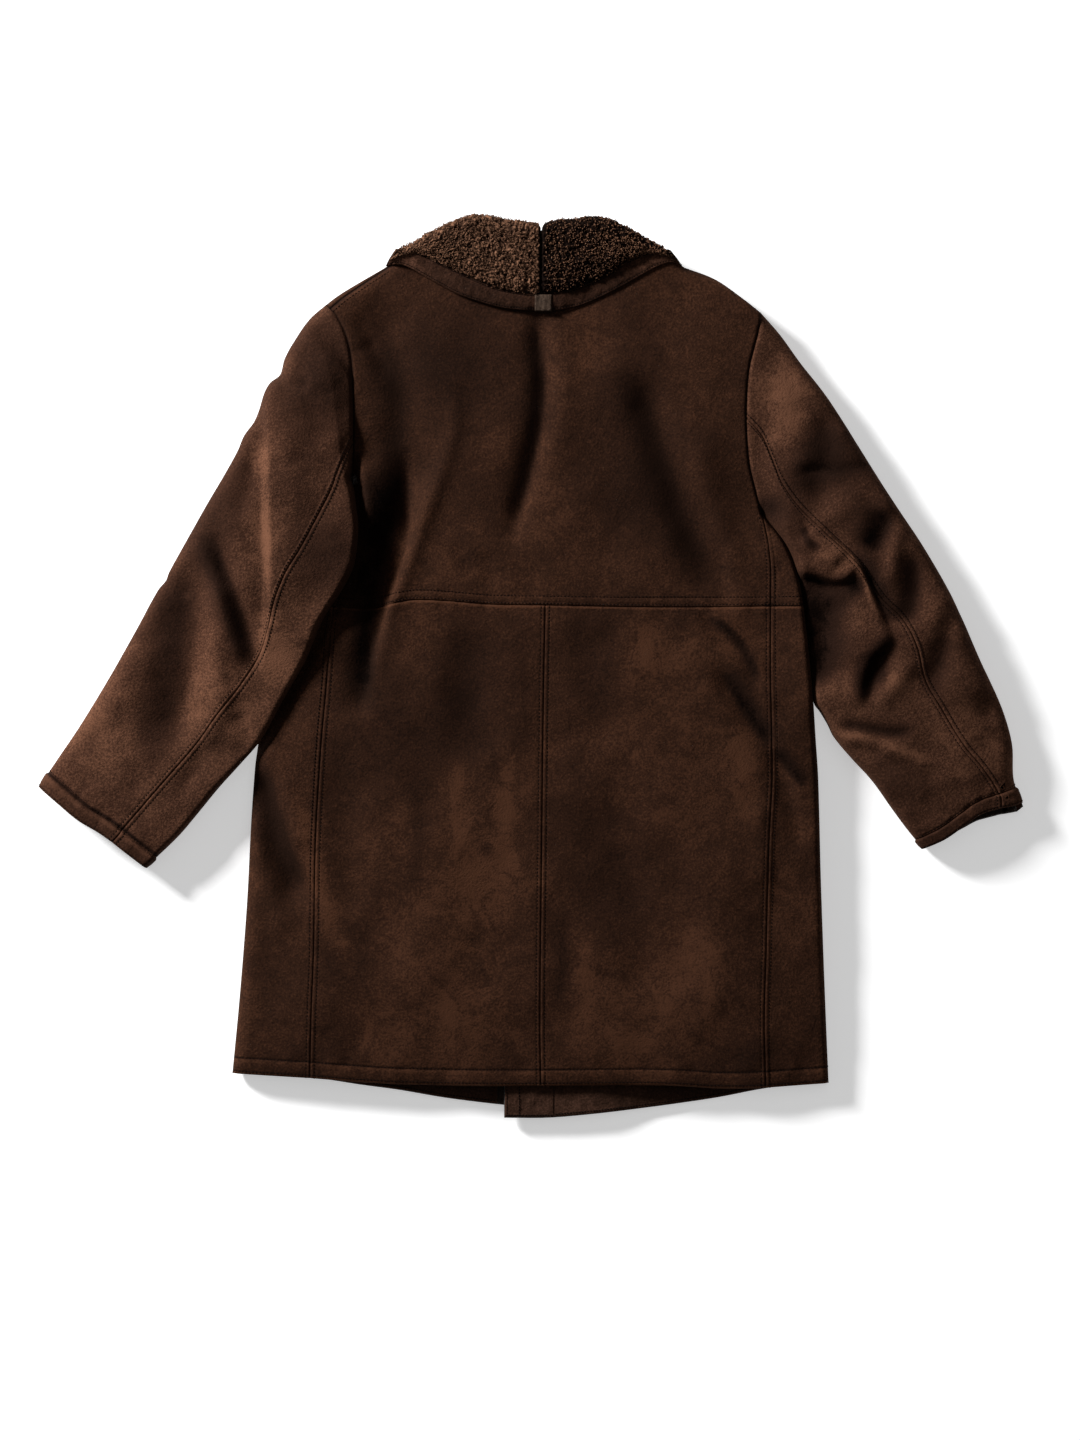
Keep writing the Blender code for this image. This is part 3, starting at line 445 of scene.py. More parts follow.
class Panel:
    """One cut piece: plan patches joined where they share an edge, then given thickness."""

    def __init__(self, node):
        self.node, self.count = node, 0
        self.outer, self.inner, self.quads = [], [], []

    def lay(self, layer, turned=False):
        outer, inner = layer
        rows, cols = outer.shape[:2]
        ids = self.count + np.arange(rows * cols).reshape(rows, cols)
        quads = np.stack([ids[:-1, :-1], ids[:-1, 1:], ids[1:, 1:], ids[1:, :-1]], -1)
        quads = quads.reshape(-1, 4)
        self.quads.append(quads[:, ::-1] if turned else quads)
        self.outer.append(outer.reshape(-1, 3))
        self.inner.append(inner.reshape(-1, 3))
        self.count += rows * cols
        return outer

    def sew(self, finishes, worn=None):
        """Joins the patches, closes the wall round the rim and makes the object."""
        outer, inner, quads = (np.vstack(x) for x in (self.outer, self.inner, self.quads))
        key = np.round(outer * 20 + 0.13).astype(np.int64)
        _, first, back = np.unique(key, axis=0, return_index=True, return_inverse=True)
        outer, inner, quads = outer[first], inner[first], back.reshape(-1)[quads]
        same = quads == np.roll(quads, 1, axis=1)
        faces = quads[~same.any(1)]
        odd = [q[~s] for q, s in zip(quads[same.any(1)], same[same.any(1)])]
        odd = [q for q in odd if len(set(q.tolist())) == 3]
        n = len(outer)
        ends = [np.stack([f.ravel(), np.roll(f, -1, axis=-1).ravel()], 1)
                for f in [faces] + odd]
        ends = np.vstack(ends)
        rim = ends[~np.isin(ends[:, 0] * n + ends[:, 1], ends[:, 1] * n + ends[:, 0])]
        a, b = rim[:, 0], rim[:, 1]
        wall = np.stack([b, a, a + n, b + n], 1)
        skin = faces.tolist() + [q.tolist() for q in odd]
        inside = (faces[:, ::-1] + n).tolist() + [(q[::-1] + n).tolist() for q in odd]
        value = np.zeros(2 * n) if worn is None else np.tile(worn(outer), 2)
        obj = smooth_mesh("suede_" + self.node, np.vstack([outer, inner]),
                          skin + inside + wall.tolist(), finishes, value)
        slots = [0] * len(skin) + [1] * len(inside) + [len(finishes) - 1] * len(wall)
        obj.data.polygons.foreach_set("material_index", slots)
        obj.data.set_sharp_from_angle(angle=math.radians(75))
        return obj


def dress(obj, node, rests_on, with_pieces=()):
    """Hangs a cut piece under the root and hides the imported part it stands for."""
    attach(obj, "root")
    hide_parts(node)


def tubes(count, rings, around, start=0):
    """Side faces of many short tubes whose points follow each other ring by ring."""
    one = [[around * r + k, around * r + (k + 1) % around,
            around * (r + 1) + (k + 1) % around, around * (r + 1) + k]
           for r in range(rings - 1) for k in range(around)]
    base = start + (np.arange(count) * rings * around)[:, None, None]
    return (np.array(one)[None] + base).reshape(-1, 4).tolist()


class Thread:
    """Rows of lockstitch, gathered into one mesh."""

    def __init__(self):
        self.centre, self.along, self.up = [], [], []

    def run(self, path, beside, pitch=4.0, skip=2.0):
        """A row along 3-D points; beside holds the points next to them across the cloth."""
        s = np.concatenate([[0], np.cumsum(np.linalg.norm(np.diff(path, axis=0), axis=1))])
        at = np.arange(skip, s[-1] - skip, pitch)

        def read(values, where):
            return np.stack([np.interp(where, s, values[:, i]) for i in range(3)], 1)

        along = read(path, at + 1) - read(path, at - 1)
        along /= np.linalg.norm(along, axis=1)[:, None]
        up = np.cross(along, read(beside - path, at))
        up *= np.sign(up[:, 2:] + 1e-9) / np.linalg.norm(up, axis=1)[:, None]
        self.centre.append(read(path, at))
        self.along.append(along)
        self.up.append(up)

    def follow(self, skin, rows=(), cols=(), step=1, pitch=4.0):
        """Rows along some lines of a grid; the next line across the cloth is step away."""
        for k in cols:
            self.run(skin[:, k], skin[:, k + step], pitch)
        for k in rows:
            self.run(skin[k], skin[k + step], pitch)

    def build(self, name, finish, half=1.35, thick=0.55):
        centre, along, up = (np.vstack(x) for x in (self.centre, self.along, self.up))
        across = np.cross(up, along)
        rings = []
        for x, lift, r in ((-half, -0.3, 0.6), (-0.6 * half, 0.25, 1), (0.6 * half, 0.25, 1),
                           (half, -0.3, 0.6)):
            for k in range(4):
                c, s = math.cos(k * math.pi / 2), math.sin(k * math.pi / 2)
                rings.append(centre + along * x + across * (c * r * thick)
                             + up * (lift + s * r * thick))
        points = np.stack(rings, 1).reshape(-1, 3)
        caps = np.array([[3, 2, 1, 0], [12, 13, 14, 15]])
        caps = caps + (np.arange(len(centre)) * 16)[:, None, None]
        obj = smooth_mesh(name, points, tubes(len(centre), 4, 4) + caps.reshape(-1, 4).tolist(),
                          [finish])
        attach(obj, "root")
        return obj


def thread_finish():
    """Brown polyester thread, waxed dark, two plies twisted together."""
    thread = Finish("seam_thread", {"Specular IOR Level": 0.04})
    ply = thread.noise(900, 2)
    colour = thread.blend(ply, (0.002, 0.0011, 0.0008, 1), (0.006, 0.003, 0.002, 1))
    thread.bumps((ply, 0.0003, 0.5))
    return thread.paint(colour, ply * 0.2 + 0.7)


THREAD = thread_finish()


class Half:
    """The pattern lines of one half of the body; side is 1 right of the centre seam."""

    def __init__(self, side, fold, seam, armhole, shoulder, hem_back, waist, neck_back,
                 neck_front, edge_x, hem_front):
        self.side, self.name = side, "right" if side > 0 else "left"
        self.fold, self.seam, self.armhole = Line(fold), Line(seam), Line(armhole)
        self.shoulder = Line(shoulder)
        self.f_fold, self.f_seam = self.fold.reach(WAIST_Y), self.seam.reach(WAIST_Y)
        at_seam, at_fold = self.seam.at(self.f_seam), self.fold.at(self.f_fold)
        self.waist = Line(waist + [tuple(at_seam)])
        self.waist_side = Line([at_seam, at_fold])
        self.waist_under = Line([at_fold, (edge_x, WAIST_Y)])
        self.hem_back, self.hem_front = Line(hem_back), Line(hem_front)
        self.hem_low = self.hem_front.p[np.argsort(self.hem_front.p[:, 0])]
        self.hem_side = Line([hem_back[-1], hem_front[0]])
        self.neck_back, self.neck_front = Line(neck_back), Line(neck_front)
        self.edge_x = edge_x
        self.edge_low = Line([hem_front[-1], (edge_x, WAIST_Y)])
        self.edge_high = Line([(edge_x, WAIST_Y), neck_front[0]])
        self.seam_low, self.seam_high = self.seam.cut(self.f_seam)
        self.fold_low, self.fold_high = self.fold.cut(self.f_fold)


LEFT = Half(
    side=-1,
    fold=[(-339, -464), (-331, -382), (-322, -268), (-316, -154), (-311, -99), (-302, -40),
        (-286, 34), (-272, 68), (-256, 98), (-243, 124), (-232, 148), (-222, 170), (-212, 191),
        (-203, 211)],
    seam=[(-250, -469), (-248, -399), (-245, -325), (-243, -202), (-237, -97), (-231, -28),
        (-224, 66), (-218, 102), (-213, 132), (-209, 158), (-206, 184), (-203, 211)],
    armhole=[(-203, 211), (-201, 256), (-201, 302), (-203, 345), (-209, 372), (-220, 394),
        (-233, 408)],
    shoulder=[(-163, 452), (-194, 434), (-217, 420), (-233, 408)],
    hem_back=[(12, -478), (-58, -478), (-149, -476), (-200, -473), (-250, -469)],
    waist=[(17, 67), (-46, 68), (-97, 72), (-132, 73), (-152, 70), (-181, 64)],
    neck_back=[(12, 427), (-45, 429), (-70, 433), (-96, 441), (-118, 450), (-131, 456),
        (-141, 457.5), (-163, 452)],
    neck_front=[(22, 335), (-40, 342), (-95, 366), (-132, 402), (-163, 452)],
    edge_x=22,
    hem_front=[(-339, -464), (-290, -467), (-240, -471), (-194, -478), (-149, -484), (-103, -492),
        (-58, -498), (-20, -502), (22, -505)])
RIGHT = Half(
    side=1,
    fold=[(339, -475), (335, -382), (330, -245), (327, -131), (324, -85), (320, -28), (313, 40),
        (304, 100), (288, 139), (262, 172)],
    seam=[(267, -480), (265, -399), (267, -325), (270, -202), (274, -120), (272, -20), (272, 66),
        (272, 110), (268, 145), (262, 172)],
    armhole=[(262, 172), (255, 199), (248, 228), (245, 265), (245, 302), (248, 336), (253, 357),
        (258, 376), (262, 399)],
    shoulder=[(175, 451), (209, 438), (239, 417), (262, 399)],
    hem_back=[(12, -478), (125, -477), (170, -478), (216, -481), (267, -480)],
    waist=[(17, 67), (125, 65), (200, 65)],
    neck_back=[(12, 427), (50, 428.5), (79, 432), (98, 437), (119, 446), (140, 456), (153, 458.5),
        (175, 451)],
    neck_front=[(-30, 335), (50, 342), (108, 366), (146, 402), (175, 451)],
    edge_x=-30,
    hem_front=[(339, -475), (300, -478), (262, -483), (216, -492), (170, -499), (125, -505),
        (79, -510), (20, -515), (-30, -515)])
CENTRE = Line(CENTRE_SEAM)
UP = (0.0, 1.0)
BODY_EDGES = [LEFT.fold.facing(-1, last=UP), RIGHT.fold.facing(1, last=UP),
              LEFT.shoulder.then(Line(OUTER_ARM_LEFT)).facing(1),
              RIGHT.shoulder.then(Line(OUTER_ARM_RIGHT)).facing(-1)]

# the hollow beside the left sleeve is deepest along this line; east of it the back
# rises to its full height again, slowly at the top and at once lower down
FOOT = Line([(-149, 336), (-144, 300), (-142, 256), (-141, 211), (-139, 165), (-140, 137),
             (-149, 108), (-160, 76), (-171, 42), (-180, 6), (-186, -40)])
BESIDE_ARM = Line(np.vstack([LEFT.armhole.back().p, Line(INNER_ARM_LEFT).p[1:]]), rounded=False)
# the troughs and ridges of the back as it lies, each from the top down: height, half
# width to the east and to the west of the line, and the line
BACK_FOLDS = [
    (-7, 8, 19, [(-166, 66), (-176, 34), (-184, 4), (-190, -32), (-192, -66)]),
    (-9, 32, 24, [(-184, 425), (-166, 378), (-150, 336), (-143, 300), (-142, 256), (-141, 222),
        (-140, 180)]),
    (-4.5, 14, 20, [(8, 430), (11, 366), (15, 318), (14, 282), (6, 250), (-6, 206), (-18, 160),
        (-28, 115)]),
    (-5.5, 5, 12, [(6, 425), (13, 370), (17, 318), (15, 284), (9, 250), (-2, 206), (-14, 160),
        (-25, 115)]),
    (2.5, 18, 12, [(34, 400), (38, 322), (33, 265), (18, 200)]),
    (-8.5, 20, 22, [(112, 350), (142, 275), (158, 222), (178, 165), (198, 118), (212, 88),
        (226, 50)]),
    (2.5, 20, 12, [(182, 270), (200, 205), (222, 145), (240, 90)]),
    (-2.2, 6, 10, [(212, 130), (218, 105), (221, 80), (216, 52)]),
    (-4, 7, 9, [(190, 66), (210, 36), (239, 12), (250, -6), (260, -36)]),
    (-6, 9, 15, [(206, 12), (226, -26), (247, -57), (266, -86), (286, -112), (304, -150)]),
    (2, 12, 12, [(238, 22), (258, -18), (278, -58)]),
    (9, 30, 34, [(256, 182), (288, 139), (304, 100), (313, 40), (320, -28), (326, -95)]),
    (-4, 26, 26, [(-64, 50), (-71, -10), (-69, -63), (-50, -115)]),
    (-3.5, 24, 24, [(62, 50), (72, -20), (76, -60), (66, -110)]),
    (-2.2, 8, 10, [(-200, 402), (-186, 376), (-174, 350), (-160, 318)]),
    (-1.5, 6, 8, [(-206, 352), (-192, 357), (-172, 361)]),
    (-12, 11, 22, [(-318, -105), (-304, -135), (-294, -171), (-282, -211), (-267, -245),
        (-250, -285)]),
    (2.5, 14, 14, [(-322, -165), (-306, -215), (-290, -262), (-280, -320)]),
    (3, 14, 10, [(-280, -120), (-268, -170), (-256, -215)]),
    (-3, 22, 22, [(-215, -120), (-205, -200), (-200, -290)]),
    (3, 36, 30, [(-115, -150), (-120, -270), (-126, -400)]),
    (-3.5, 30, 36, [(72, -130), (110, -250), (130, -400)]),
    (3.5, 36, 30, [(180, -170), (208, -300), (196, -439)]),
    (-3, 10, 14, [(268, -90), (282, -125), (296, -165), (306, -215)]),
    (2, 12, 12, [(258, -150), (262, -200), (262, -260)]),
    (-2, 7, 9, [(-84, 140), (-76, 120), (-62, 100)]),
    (-2, 10, 12, [(-46, 130), (-48, 108), (-40, 88)]),
]


# how high the back lies at each y, along its middle and at its sides
MIDDLE_HEIGHT = ([-480, -440, -380, -200, 66, 200, 330, 440], [24, 29, 34, 35, 36, 38, 39, 34])
SIDE_HEIGHT = ([-480, -400, -200, -90, 0, 150, 300, 440], [21, 26, 30, 33, 31, 28, 29, 30])
SLOPE = 90                 # from the sides in to the middle's height
LOWEST = 17.5
# the hollow beside the left sleeve: how far from its foot the back is high again at each
# y, and how much its floor climbs away from the sleeve at its upper and lower end
HOLLOW_WIDE = ([130, 160, 211, 268], [9, 17, 38, 57])
HOLLOW_TOP, HOLLOW_LOW = 25, 18
HOLLOW_RIM = 4.5           # the back puffs up a little beyond it
ARM_OVER_Y = 205           # below this the left sleeve lies over the back


def body_height(xy):
    """Height of the back's suede over the floor."""
    x, y = xy[..., 0], xy[..., 1]
    middle, side = np.interp(y, *MIDDLE_HEIGHT), np.interp(y, *SIDE_HEIGHT)
    off = np.minimum(LEFT.fold.off(xy), RIGHT.fold.off(xy))
    high = side + (middle - side) * ease(off / SLOPE)
    # the hollow: its foot, the floor that climbs to it, and the wall beyond it
    ys = np.array(INNER_ARM_LEFT)[::-1]
    under = x < np.interp(y, ys[:, 1], ys[:, 0])
    off = np.where(under & (y < ARM_OVER_Y), 0.0, BESIDE_ARM.off(xy))
    d, _, east, f = FOOT.nearest(xy)
    past = d * east
    across = np.clip(off / np.maximum(off - np.minimum(past, 0), 1e-6), 0, 1)
    wall = np.interp(y, *HOLLOW_WIDE)
    rise = ease((past + 3) / wall)
    climb = HOLLOW_TOP * ease((y - 128) / 60) + HOLLOW_LOW * ease((68 - y) / 44)
    low = BACK_UNDER_SLEEVE + climb * (1 - across ** 1.8) * ease(off / 9)
    ends = ease(f / 0.16) * ease((1 - f) / 0.32)
    level = high + (low - high) * (1 - rise) * ends
    # pressed flat where the sleeve lies on it
    near = BACK_UNDER_SLEEVE + (level - BACK_UNDER_SLEEVE) * ease((off - 1) / 12)
    amount = ease((252 - y) / 47) * ease((y + 170) / 60) * (x < 0)
    high = high + (near - high) * amount
    # folds, fainter in the hollow; a puffed rim; slight unevenness everywhere
    high += folds_at(xy, BACK_FOLDS) * (1 - 0.85 * (1 - rise) * ends * amount)
    puff = ease((y - 30) / 90) * bell(past - wall, 10) * tapered(f, 0.3) * (x < 0)
    high += HOLLOW_RIM * puff
    high += 0.8 * ripple(xy, 95, 1) + 0.3 * ripple(xy, 34, 2)
    high = np.where((amount > 0.5) & under, np.minimum(high, BACK_UNDER_SLEEVE), high)
    return np.maximum(high, LOWEST)


HEM = LEFT.hem_side.back().then(LEFT.hem_back.back(), RIGHT.hem_back, RIGHT.hem_side).p
WAIST = LEFT.waist_side.back().then(LEFT.waist.back(), RIGHT.waist, RIGHT.waist_side).p


def back_relief(xy):
    """What the seams and the turned hem add to the back's suede."""
    up, hem = above(xy, WAIST), above(xy, HEM)
    total = np.where(up < 0, flat_join(CENTRE.off(xy)), 0.0)
    total += flat_join(shoulder_seam_left.off(xy), 3.4, 0.6, 2.6, 1.3)
    for half in (LEFT, RIGHT):
        total += flat_join(half.seam.off(xy))
        total -= 2.6 * bell(half.armhole.off(xy), 1.8, 1.5)
    total += 0.5 * ease((12 - np.where(up > 0, up, 99.0)) / 2) + 0.4 * ease((20.6 - hem) / 1.8)
    total -= stitched(up, 0.2, 1.3) + stitched(up, 2.9) + stitched(up, 10.4)
    total -= stitched(hem, 18.8, 0.9) + stitched(hem, 3.6, 0.5)
    total += bell(up, 14) * 0.5 * ripple(xy, 17, 3) + bell(hem - 19, 9) * 0.45 * ripple(xy, 15, 4)
    return total


def back_layer(xy):
    """The body's upper layer of cloth: its suede, and the wool side under it."""
    x, y = xy[..., 0], xy[..., 1]
    pressed = ease((x - 200) / 30) * (0.8 + 0.2 * ease((y + 60) / 50))   # crisp right side
    return shell(xy, 0.0, body_height(xy), BODY_EDGES, SIDE_ROUND - 10 * pressed, True,
                 back_relief(xy), rolled(above(xy, HEM)))


def back_top(xy):
    """Height of the finished back."""
    return back_layer(xy)[0][..., 2]


def front_lift(xy):
    """The right front steps up over the left front near its edge."""
    return 7.6 * ease((135 - xy[..., 0]) / 70)


def front_layer(half, xy):
    """The front's suede lies face down on the floor."""
    low = front_lift(xy) if half.side > 0 else 0.0
    to_hem, to_edge = above(xy, half.hem_low), np.abs(xy[..., 0] - half.edge_x)
    return shell(xy, low, body_height(xy), BODY_EDGES, SIDE_ROUND, False,
                 roll=np.maximum(rolled(to_hem), rolled(to_edge)))


# (strength, radius, place): where the suede is lighter or darker, partly brushed nap and partly
# painted shade and painted highlights where folds and the sleeve's shadow fall
NAP_AND_PAINTED_LIGHT_SPOTS = [
    (0.5, 50, (-62, -245)), (0.45, 55, (-105, -300)), (0.2, 50, (182, -330)),
    (-0.7, 60, (-112, 350)), (-0.3, 60, (-58, 215)), (-0.7, 55, (98, 190)),
    (-0.3, 60, (-118, -105)), (-0.1, 50, (-286, -340)), (0.25, 60, (130, -110)),
    (0.15, 45, (215, -290)), (0.3, 60, (-140, -180)), (0.8, 62, (130, -415)),
    (-0.7, 28, (-74, 14)), (-0.7, 26, (-72, -40)), (-0.5, 30, (-66, -92)), (-0.3, 28, (70, 20)),
    (-0.35, 28, (80, -40)), (0.25, 44, (-170, -420)), (-0.4, 30, (-180, -20)),
    (0.5, 34, (130, 12)), (0.4, 26, (234, -118)), (0.35, 40, (150, 40)), (0.3, 60, (60, 190)),
    (0.25, 60, (-70, 120)), (-0.3, 50, (40, -160)), (0.45, 44, (-35, -150)),
    (-0.35, 50, (90, -250)), (0.3, 40, (215, 30)), (-0.5, 24, (246, -452)), (0.4, 40, (-20, 240)),
    (-0.6, 9, (-50, -208)), (-0.6, 9, (-72, -214)), (-0.35, 40, (-100, 330)),
    (-0.3, 44, (120, 300)), (0.35, 44, (60, 360)), (0.85, 58, (-92, -408)),
    (0.4, 45, (-40, -228)), (0.4, 44, (298, -272)),
]
# painted shade down in the creases and in the left sleeve's shadow, painted highlights on the lit
# sides of folds, and a few pale streaks of nap: like the folds, in shades instead of millimetres
NAP_AND_PAINTED_LIGHT_LINES = [
    (-0.8, 12, 22, [(-174, 380), (-158, 336), (-150, 300), (-150, 256), (-152, 215),
        (-156, 160)]),
    (-1.3, 5, 12, [(2, 400), (8, 352), (11, 318), (8, 284), (4, 250), (-6, 206), (-18, 160)]),
    (-0.9, 14, 20, [(104, 350), (130, 275), (148, 222), (168, 165), (188, 118), (204, 78)]),
    (-2.6, 3, 5, [(196, 56), (218, 44), (235, 28), (246, 10), (254, -8), (258, -24)]),
    (-2.4, 12, 4, [(214, -2), (230, -28), (247, -56), (264, -82), (272, -96)]),
    (-2.0, 9, 4, [(274, -94), (290, -112), (302, -128), (312, -140)]),
    (-2.4, 13, 30, [(-148, 222), (-158, 188), (-166, 152), (-176, 116), (-184, 82), (-186, 50)]),
    (-1.8, 8, 15, [(-176, 84), (-184, 50), (-187, 16), (-188, -20), (-190, -40)]),
    (0.7, 12, 16, [(226, -60), (242, -96), (246, -140), (252, -190)]),
    (-1.4, 7, 18, [(-306, -100), (-297, -140), (-287, -175), (-274, -214), (-254, -262)]),
    (0.9, 12, 12, [(-266, -130), (-256, -180), (-240, -240), (-222, -300), (-196, -360)]),
    (0.7, 9, 9, [(-24, -90), (-28, -160), (-30, -240)]),
    (0.6, 10, 10, [(-78, -80), (-84, -160), (-70, -250), (-80, -330)]),
    (0.6, 9, 9, [(58, -300), (64, -350), (60, -420)]),
    (0.5, 8, 8, [(196, -290), (204, -350), (198, -410)]),
    (-0.6, 9, 9, [(28, -270), (36, -330), (30, -400)]),
    (-0.5, 9, 9, [(-132, -130), (-126, -200), (-138, -270)]),
    (-0.6, 10, 12, [(-186, 60), (-186, 20), (-190, -20), (-190, -60)]),
]
# rows of pale and dark nap along the hem: strength, height over the hem, half width
HEM_NAP = [(0.9, 1.2, 1.4), (-1.0, 3.8, 0.9), (0.5, 15.5, 2.4), (-1.3, 18.8, 0.9)]


def nap(points):
    """How light the suede is, from its place on the coat: worn pale on the edge under the
    waist seam, pale and dark rows along the hem, painted shade down in the shoulder and armhole
    seams, and the spots and lines above."""
    xy = points[:, :2]
    total = 1.2 * bell(above(xy, WAIST) + 1.7, 1.1) + folds_at(xy, NAP_AND_PAINTED_LIGHT_LINES)
    total += spots_at(xy, NAP_AND_PAINTED_LIGHT_SPOTS) - 2.2 * bell(shoulder_seam_left.off(xy), 1.2)
    for strength, row, wide in HEM_NAP:
        total += strength * bell(above(xy, HEM) - row, wide)
    for half in (LEFT, RIGHT):
        total -= 1.4 * bell(half.armhole.off(xy), 1.6)
    return total


thread_back = Thread()
# stations between the close ones at the edges
LOWER_ROWS = (AT_HEM, AT_JOIN, 118)
ROWS_ARMHOLE, ROWS_UNDERARM = 56, 20
COLS_BACK, COLS_SIDE, COLS_FRONT = 52, 14, 28
COLS_NECK, COLS_RIDGE, COLS_SHOULDER = 25, 20, 12
WAIST_ROWS = (4, 11)       # stations of the stitch rows over the waist seam


def lower_back(half):
    """One lower back panel, from the hem up to the waist seam."""
    panel = Panel("back_lower_" + half.name)
    grid = patch(half.hem_back, half.waist, CENTRE, half.seam_low,
                 (AT_JOIN, AT_JOIN, COLS_BACK), LOWER_ROWS)
    skin = panel.lay(back_layer(grid), half.side < 0)
    thread_back.follow(skin, (EDGE_ROW, HEM_ROW), (JOIN_ROW, -JOIN_ROW - 1))
    return panel


def front_low(half):
    """Side strip on top, then round the fold to the front edge underneath."""
    panel = Panel("front_lower_" + half.name)
    grid = patch(half.hem_side, half.waist_side, half.seam_low, half.fold_low,
                 (AT_JOIN, AT_FOLD, COLS_SIDE), LOWER_ROWS)
    skin = panel.lay(back_layer(grid), half.side < 0)
    thread_back.follow(skin, (EDGE_ROW, HEM_ROW), (JOIN_ROW,))
    grid = patch(half.hem_front, half.waist_under, half.fold_low, half.edge_low,
                 (AT_FOLD, AT_HEM[:5], COLS_FRONT), LOWER_ROWS)
    panel.lay(front_layer(half, grid), half.side < 0)
    return panel


def under_arm_rows(half):
    """Stations from the waist up to the underarm."""
    return spaced(half.seam_high.length, AT_WAIST, AT_PLAIN, ROWS_UNDERARM)


def side_rows(half, share, arm):
    """Stations up the side: the first share of it up to the underarm, then the armhole."""
    high = spaced(arm.length, AT_PLAIN, AT_FOLD, ROWS_ARMHOLE)
    return np.concatenate([under_arm_rows(half) * share, share + (1 - share) * high[1:]])


def upper_back():
    """One panel from side to side, cut to the shoulders."""
    panel = Panel("back_upper")
    for half in (LEFT, RIGHT):
        arm = half.armhole
        neck, ridge = half.neck_back, half.shoulder
        if half.side < 0:      # the front wraps over the left shoulder by its seam
            arm = arm.cut(arm.from_end(SEAM_BEHIND))[0]
            neck = neck.cut(neck.from_end(SEAM_BEHIND))[0]
            ridge = shoulder_seam_left
        side = half.seam_high.then(arm)
        top = neck.then(ridge)
        split = neck.length / top.length
        neck_at = np.linspace(0, split, COLS_NECK)
        top_at = np.concatenate([neck_at, split + (1 - split) * spaced(
            ridge.length, AT_PLAIN, AT_JOIN, COLS_RIDGE)[1:]])
        waist_at = spaced(half.waist.length, AT_PLAIN, AT_JOIN, len(top_at) - len(AT_JOIN) + 1)
        rows = side_rows(half, half.seam_high.length / (half.seam_high.length + arm.length), arm)
        middle = Line([CENTRE_SEAM[-1], (14, 260), (12, 427)])
        middle_at = spaced(middle.length, AT_WAIST, AT_FOLD,
                           len(rows) - len(AT_WAIST) - len(AT_FOLD) + 2)
        grid = patch(half.waist, top, middle, side, (waist_at, top_at), (middle_at, rows))
        skin = panel.lay(back_layer(grid), half.side < 0)
        thread_back.follow(skin, WAIST_ROWS)
        underarm = int(np.searchsorted(rows, half.seam_high.length / side.length))
        thread_back.follow(skin[:underarm], cols=(-JOIN_ROW - 1,), step=-1)
        if half.side < 0:
            thread_back.follow(skin[:, COLS_NECK + 1:], (-5,), step=-1)
    return panel


def shoulder_line_left():
    """The left shoulder seam, a little down the back from the shoulder's edge."""
    start, end = (line.at(line.from_end(SEAM_BEHIND)) for line in (LEFT.neck_back, LEFT.armhole))
    f = np.linspace(0, 1, 12)[:, None]
    run = LEFT.shoulder.at(f[:, 0])
    return Line(start + (end - start) * f + run - (run[0] + (run[-1] - run[0]) * f), rounded=False)


shoulder_seam_left = shoulder_line_left()


def front_high(half):
    """Side piece up to the underarm, then the front face down to shoulder and neck."""
    panel = Panel("front_upper_" + half.name)
    arm = half.armhole
    low, side = under_arm_rows(half), half.fold_high.then(arm)
    rows = side_rows(half, half.fold_high.length / side.length, arm)
    at_waist = spaced(half.waist_side.length, AT_JOIN, AT_FOLD, COLS_SIDE)
    tip = half.fold.at(1)
    tip_line = Line([tip, tip + 1e-4])
    grid = patch(half.waist_side, tip_line, half.seam_high, half.fold_high,
                 (at_waist, at_waist), (low, low))
    skin = panel.lay(back_layer(grid), half.side < 0)
    thread_back.follow(skin[:-12], cols=(JOIN_ROW,))
    thread_back.follow(skin, WAIST_ROWS)
    top = half.shoulder.back().then(half.neck_front.back())
    split = half.shoulder.length / top.length
    ridge_at = spaced(half.shoulder.length, AT_FOLD, AT_PLAIN, COLS_SHOULDER)
    top_at = np.concatenate([split * ridge_at, np.linspace(split, 1, 19)[1:]])
    base = spaced(half.waist_under.length, AT_FOLD, AT_PLAIN, len(top_at) - len(AT_FOLD) + 1)
    mid = spaced(half.edge_high.length, AT_PLAIN, AT_PLAIN, len(rows))
    grid = patch(half.waist_under, top, side, half.edge_high, (base, top_at), (rows, mid))
    panel.lay(front_layer(half, grid), half.side < 0)
    if half.side < 0:          # the strip between the shoulder's edge and its seam
        across = np.array((0, 2.6, 4.9, 6.5, 7.5, 8)) / SEAM_BEHIND
        along = (1 - ridge_at)[::-1]
        ends = [line.cut(line.from_end(SEAM_BEHIND))[1] for line in (half.neck_back, arm)]
        panel.lay(back_layer(patch(shoulder_seam_left, half.shoulder, *ends,
                                   (along, along), (across, across))), True)
    return panel


BODY = [SUEDE, WOOL, SUEDE]     # outside, inside and rim of a piece
lower = {half.name: (lower_back(half), front_low(half), front_high(half))
         for half in (LEFT, RIGHT)}
upper = upper_back()
stitching = thread_back.build("thread_back", THREAD)
for half in (LEFT, RIGHT):
    back, front, front_up = lower[half.name]
    under = ["front_lower_" + half.name]
    dress(back.sew(BODY, nap), back.node, under,
          [stitching] if half.side < 0 else [])
    dress(front.sew(BODY, nap), front.node, ["floor"])
    dress(front_up.sew(BODY, nap), front_up.node, ["floor"])
dress(upper.sew(BODY, nap), upper.node,
      ["front_upper_left", "front_upper_right"])

